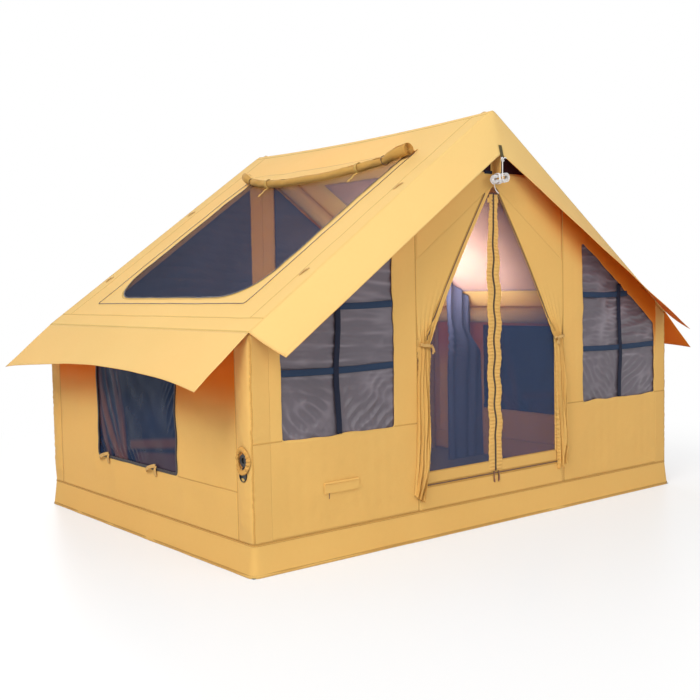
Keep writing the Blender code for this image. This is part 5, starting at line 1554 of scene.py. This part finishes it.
def curtain_surface(side):
    """A tied-back curtain: flat where it hangs from the gable, in folds at its tie, a bundle below."""
    levels = np.array([0.0, TIE_LEVEL, 0.50, 0.66, 0.84, 1.0])
    outer_x = np.array([0.540, TIE_OUTER, 0.543, 0.548, 0.556, 0.574 if side < 0 else 0.560])
    outer_z = np.array([1.357, TIE_HEIGHT, 0.76, 0.56, 0.37, 0.222 if side < 0 else 0.262])
    hem_x = np.array([0.004, TIE_INNER, 0.474, 0.476, 0.481, 0.512 if side < 0 else 0.486])
    hem_z = np.array([1.739, TIE_HEIGHT, 0.755, 0.55, 0.35, 0.183 if side < 0 else 0.218])
    swell = np.array([0.0, 0.004, 0.008, 0.009, 0.008, 0.004])

    def at(across, down, out=0.0):
        """across from 0 at the outer edge to 1 at the hem, down from 0 at the top edge to 1 at the foot."""
        across, down = both(across, down)
        upper = np.clip(down / TIE_LEVEL, 0, 1)
        below = np.clip((down - TIE_LEVEL) / (1 - TIE_LEVEL), 0, 1)
        is_upper = down < TIE_LEVEL
        ox = np.where(is_upper, 0.540 - (0.540 - TIE_OUTER) * upper**6, np.interp(down, levels, outer_x))
        hx = np.interp(down, levels, hem_x)
        oz, hz = np.interp(down, levels, outer_z), np.interp(down, levels, hem_z)
        bow = 0.016 * np.sin(math.pi * upper) * across**2 * is_upper
        drift = np.where(is_upper, 0.0, CURTAIN_TWIST * below)
        phase = 2 * math.pi * CURTAIN_FOLDS * across + drift
        phase = phase + 0.9 * np.sin(6 * below + 3 * across) + 1.3 * side
        crisp = np.sin(phase) + 0.14 * np.sin(2 * phase + 1.1 + 5 * below)
        uneven = 1 + 0.18 * np.sin(0.5 * phase + 7 * below + 2 * side)
        uneven = uneven + 0.12 * np.sin(13 * below + 9 * across)
        gather = np.where(is_upper, 0.0130 * upper**6, 0.0125 + 0.0045 * np.sin(math.pi * below)) * uneven
        pinch = 1 - 0.42 * np.exp(-(((down - TIE_LEVEL) / 0.018) ** 2))
        round_off = np.sqrt(np.clip(1 - (2 * across - 1) ** 2, 0, 1))
        body = np.where(is_upper, 0.004 * upper**9, np.interp(down, levels, swell)) * round_off
        edge = np.sin(math.pi * np.clip(across, 0, 1)) ** 0.5
        ruffle = np.exp(-(((1 - across) * np.maximum(ox - hx, 0.03) / 0.012) ** 2))
        along_hem = 1.5 * below + upper
        ripples = ruffle * np.sin(2 * math.pi * along_hem / 0.055 + 2 * np.sin(9 * along_hem))
        ripples = ripples * np.where(is_upper, 0.0030 * upper**3, 0.0032)
        crush = np.where(is_upper, 0.0, ripple(across * 0.07, down * 0.9, 95 + side, 0.045, 0.0016))
        depth = np.abs(gather * pinch * (1 + crisp) * edge) + body + crush * edge + np.abs(ripples)
        sway = np.where(is_upper, 0.0, 0.010 * np.sin(phase * 0.5 + 4 * below) * edge * below)
        x = ox + (hx - ox) * across + bow + sway + 0.6 * ripples
        z = oz + (hz - oz) * across
        depth = depth * ease(down / 0.02) + 0.0001
        return stacked(side * x, -(HALF_DEPTH + depth + out), z)
    return at


def curtain(side, side_name):
    at = curtain_surface(side)
    across = np.linspace(0, 1, 110)[:, None]
    down = np.linspace(0, 1, 220)[None, :]
    cloth = turned(grid(at(across, down)), (0, -1, 0))
    piece = add(f"curtain_{side_name}", cloth, WALL_CLOTH, thick=THIN_CLOTH,
                stands_for=[f"door_curtain_{side_name}"])
    inset = 0.052 if side < 0 else 0.010
    down = np.linspace(0.004, TIE_LEVEL - 0.015, 90)
    width = np.maximum((1 - down / TIE_LEVEL) * 0.536 + 0.066 * down / TIE_LEVEL, 0.02)
    across = 1 - np.minimum(inset / width, 0.5)
    zip_line = band(at, np.stack([across, down], -1), 0.0075, 0.0018)
    fold_line = band(at, np.stack([across - 0.010 / width, down], -1), 0.010, 0.0010)
    add(f"curtain_zip_{side_name}", zip_line, BROWN_TEETH)
    add(f"curtain_zip_tape_{side_name}", fold_line, WALL_SEAM)
    middle, half = (TIE_OUTER + TIE_INNER) / 2, (TIE_OUTER - TIE_INNER) / 2 + 0.004
    turn = np.linspace(0, 2 * math.pi, 70, endpoint=False)
    tie_out = HALF_DEPTH + 0.0150
    ring = stacked(side * (middle + half * np.cos(turn)), -(tie_out + 0.0140 * np.sin(turn)),
                   TIE_HEIGHT + 0.005 * np.cos(turn) + 0.0015 * np.sin(5 * turn))
    outward = unit(ring - stacked(side * middle + 0 * turn, -tie_out + 0 * turn, TIE_HEIGHT + 0 * turn))
    tie = sweep(ring, outward, strap_profile(0.015, 0.0016, 0.0006), closed=True)
    t = np.linspace(0, 1, 24)
    ends = []
    for lean in (0.2, 1.0):
        out = tie_out + 0.0150 + 0.005 * np.sin(3 * t)
        hang = stacked(side * (middle - half * 0.7 - 0.012 * lean * t), -out,
                       TIE_HEIGHT - 0.004 - (0.040 - 0.010 * lean) * t)
        normals = stacked(0.3 * np.sin(4 * t), -1 + 0 * t, 0 * t)
        ends.append(sweep(hang, normals, strap_profile(0.011, 0.0014, 0.0004)))
    add(f"curtain_tie_{side_name}", [tie, *ends], TAN_STRAP)


GUARD_WIDTH = 0.043


def zip_line_x(z):
    """How far the centre zip wanders from the middle at a height; it is straight where its slider stops."""
    sway = 0.0030 * np.sin(2 * math.pi * (z - 0.30) / 0.62)
    wander = sway + 0.0052 * np.sin(2 * math.pi * z / 0.168 + 0.6) * ease((1.60 - z) / 0.30)
    return wander * ease((z - 0.37) / 0.12)


def pleated(at, x_from, width, z, side, seed):
    """A strip of cloth gathered along its length: fine level pleats between its two long edges."""
    v = np.linspace(0, 1, 16)[None, :]
    pleat = 2 * math.pi * z / 0.0185 + 1.1 * np.sin(8 * z + seed) + 0.8 * np.sin(2.5 * v + 12 * z)
    strength = 0.75 + 0.25 * np.sin(17 * z + 2 * seed)
    arch = np.sin(math.pi * np.clip(v, 0, 1)) ** 0.5
    out = 0.0012 + arch * (0.0036 + 0.0026 * strength * np.sin(pleat) + 0.0008 * np.sin(29 * z + 3 * v))
    edge = (0.0016 * np.sin(pleat * 0.5 + 1.0) + 0.0024 * np.sin(2 * math.pi * z / 0.168 + 1.0 + seed)) * v
    return turned(grid(at(x_from + side * (width * v + edge), z + 0 * v, out)), (0, -1, 0))


def leaf_trim(side, side_name):
    """A leaf's canvas border, its half of the centre zip and the ruffled guard beside the zip."""
    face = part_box(f"mesh_door_{side_name}")[0][1]
    body = f"{side_name}_door_leaf"

    def at(x, z, out=0.0):
        return stacked(x, face - 0.0002 - out, z)

    def trim(corners, rows, columns):
        return sheet_patch(at, mirrored(corners, side), rows, columns, (0, -1, 0), 0.001)

    z = np.linspace(0.322, 0.985, 500)[:, None]
    border = [
        trim(rectangle(0.0006, 0.537, SILL_HEIGHT + 0.001, 0.327), 40, 8),
        trim([(0.0006, 1.648), (0.040, 1.648), (0.040, 1.668), (0.0006, 1.696)], 4, 6),
        pleated(at, side * (0.482 if side < 0 else 0.470), 0.054, z, side, 3.0),
        trim([(0.487, 0.980), (0.537, 0.980), (0.537, 1.34), (0.487, 1.375)], 8, 30),
    ]
    add(f"leaf_border_{side_name}", border, TRIM_CLOTH, body=body, thick=TRIM_THICK)
    piping = band(at, line((side * 0.022, 0.324), (side * 0.486, 0.324), 60), 0.006, 0.0018)
    add(f"leaf_border_seam_{side_name}", piping, WALL_SEAM, body=body)
    z = np.linspace(0.272, 1.696, 300)
    zip_half = band(at, np.stack([side * 0.0030 + zip_line_x(z), z], -1), 0.0056, 0.0034)
    add(f"door_zip_{side_name}", zip_half, DOOR_TEETH, body=body)
    z = np.linspace(0.280, 1.690, 700)[:, None]
    narrow = 0.58 + 0.42 * ease((1.66 - z) / 0.42)
    guard = pleated(at, zip_line_x(z) + side * 0.0054, GUARD_WIDTH * narrow, z, side, float(side))
    add(f"zip_guard_{side_name}", guard, TRIM_CLOTH, body=body, thick=TRIM_THICK)


def sill_pull(side, side_name):
    """The cord on a sill zip's slider, with a knot near its end, worked round the slider's own pull."""
    low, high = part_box(f"sill_zip_slider_{side_name}")
    x = (low[0] + high[0]) / 2
    t = np.linspace(0, 1, 40)
    height = high[2] - low[2]
    path = stacked(x + side * (0.004 * np.sin(3.3 * t) - 0.002 * t),
                   low[1] - 0.0005 - 0.002 * np.sin(2.5 * t), low[2] + height * 0.78 - height * 0.80 * t)
    swell = 1 + 0.9 * np.exp(-(((t - 0.74) / 0.07) ** 2)) + 0.35 * np.exp(-(((t - 0.30) / 0.05) ** 2))
    cord = tube(path, 0.0026, 12, sizes=swell)
    add(f"sill_pull_{side_name}", cord, PULL_CORD, body=f"{side_name}_sill_slider")


for side, side_name in SIDES:
    curtain(side, side_name)
    leaf_trim(side, side_name)
    sill_pull(side, side_name)


# Small trim at the corner valve and the peak


def valve_ruffle():
    """Gathered cloth round the valve's slit: a ring that swells and puckers."""
    at = corner_surface(-1, -1)
    turn = np.linspace(0, 2 * math.pi, 220, endpoint=False)[:, None]
    v = np.linspace(0, 1, 14)[None, :]
    pucker = np.sin(15 * turn + 2 * np.sin(3 * turn))
    reach_a = 0.030 + 0.021 * v + 0.0015 * pucker * np.sin(math.pi * v)
    reach_b = 0.039 + 0.024 * v + 0.0020 * pucker * np.sin(math.pi * v)
    out = 0.0004 + np.sin(math.pi * v) ** 0.8 * (0.0075 + 0.0032 * pucker)
    along = POST_Y - SLEEVE_Y + reach_a * np.cos(turn)
    height = 0.50 + reach_b * np.sin(turn)
    ring = turned(grid(at(along, height, out), wrap_rows=True), (-1, 0, 0))
    add("valve_ruffle", ring, WALL_SEAM, thick=THIN_CLOTH)


def peak_trim():
    """The strap and the keel of cloth under the awning's peak."""
    t = np.linspace(0, 1, 20)
    at = gable_surface(-1)
    strap = band(at, np.stack([-0.062 + 0.055 * t, 1.80 + 0 * t], -1), 0.016, 0.0020)
    add("peak_strap", strap, NAVY_STRAP)
    u = np.linspace(0, 1, 40)[:, None]
    v = np.linspace(0, 1, 12)[None, :]
    high = 1.985 - (1.985 - DOOR_APEX) * u
    reach = (AWNING_APEX_OUT - 0.004) * np.minimum(1, (1 - u) / 0.40) * v
    reach = HALF_DEPTH + 0.0012 + reach
    keel = turned(grid(stacked(0.0012 * np.sin(5 * u) * v, -reach, high - 0.085 * (1 - u) * v)), (-1, 0, 0))
    add("peak_keel", keel, TRIM_CLOTH, thick=KEEL_THICK)


valve_ruffle()
peak_trim()


# Finishes of the pieces that keep their solids


def finish_node(name, material):
    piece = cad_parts[name]
    piece.data.materials.clear()
    piece.data.materials.append(material)


FINISHES = {"_beam": BEAM_SKIN, "slider": BROWN_METAL, "valve_": BLACK_PLASTIC, "mesh_door_": DOOR_NET,
            "groundsheet": FLOOR_CLOTH, "peak_tab": OLIVE_STRAP, "cable_port_flap": WALL_CLOTH}
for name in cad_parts:
    for part_of_name, material in FINISHES.items():
        if part_of_name in name:
            finish_node(name, material)
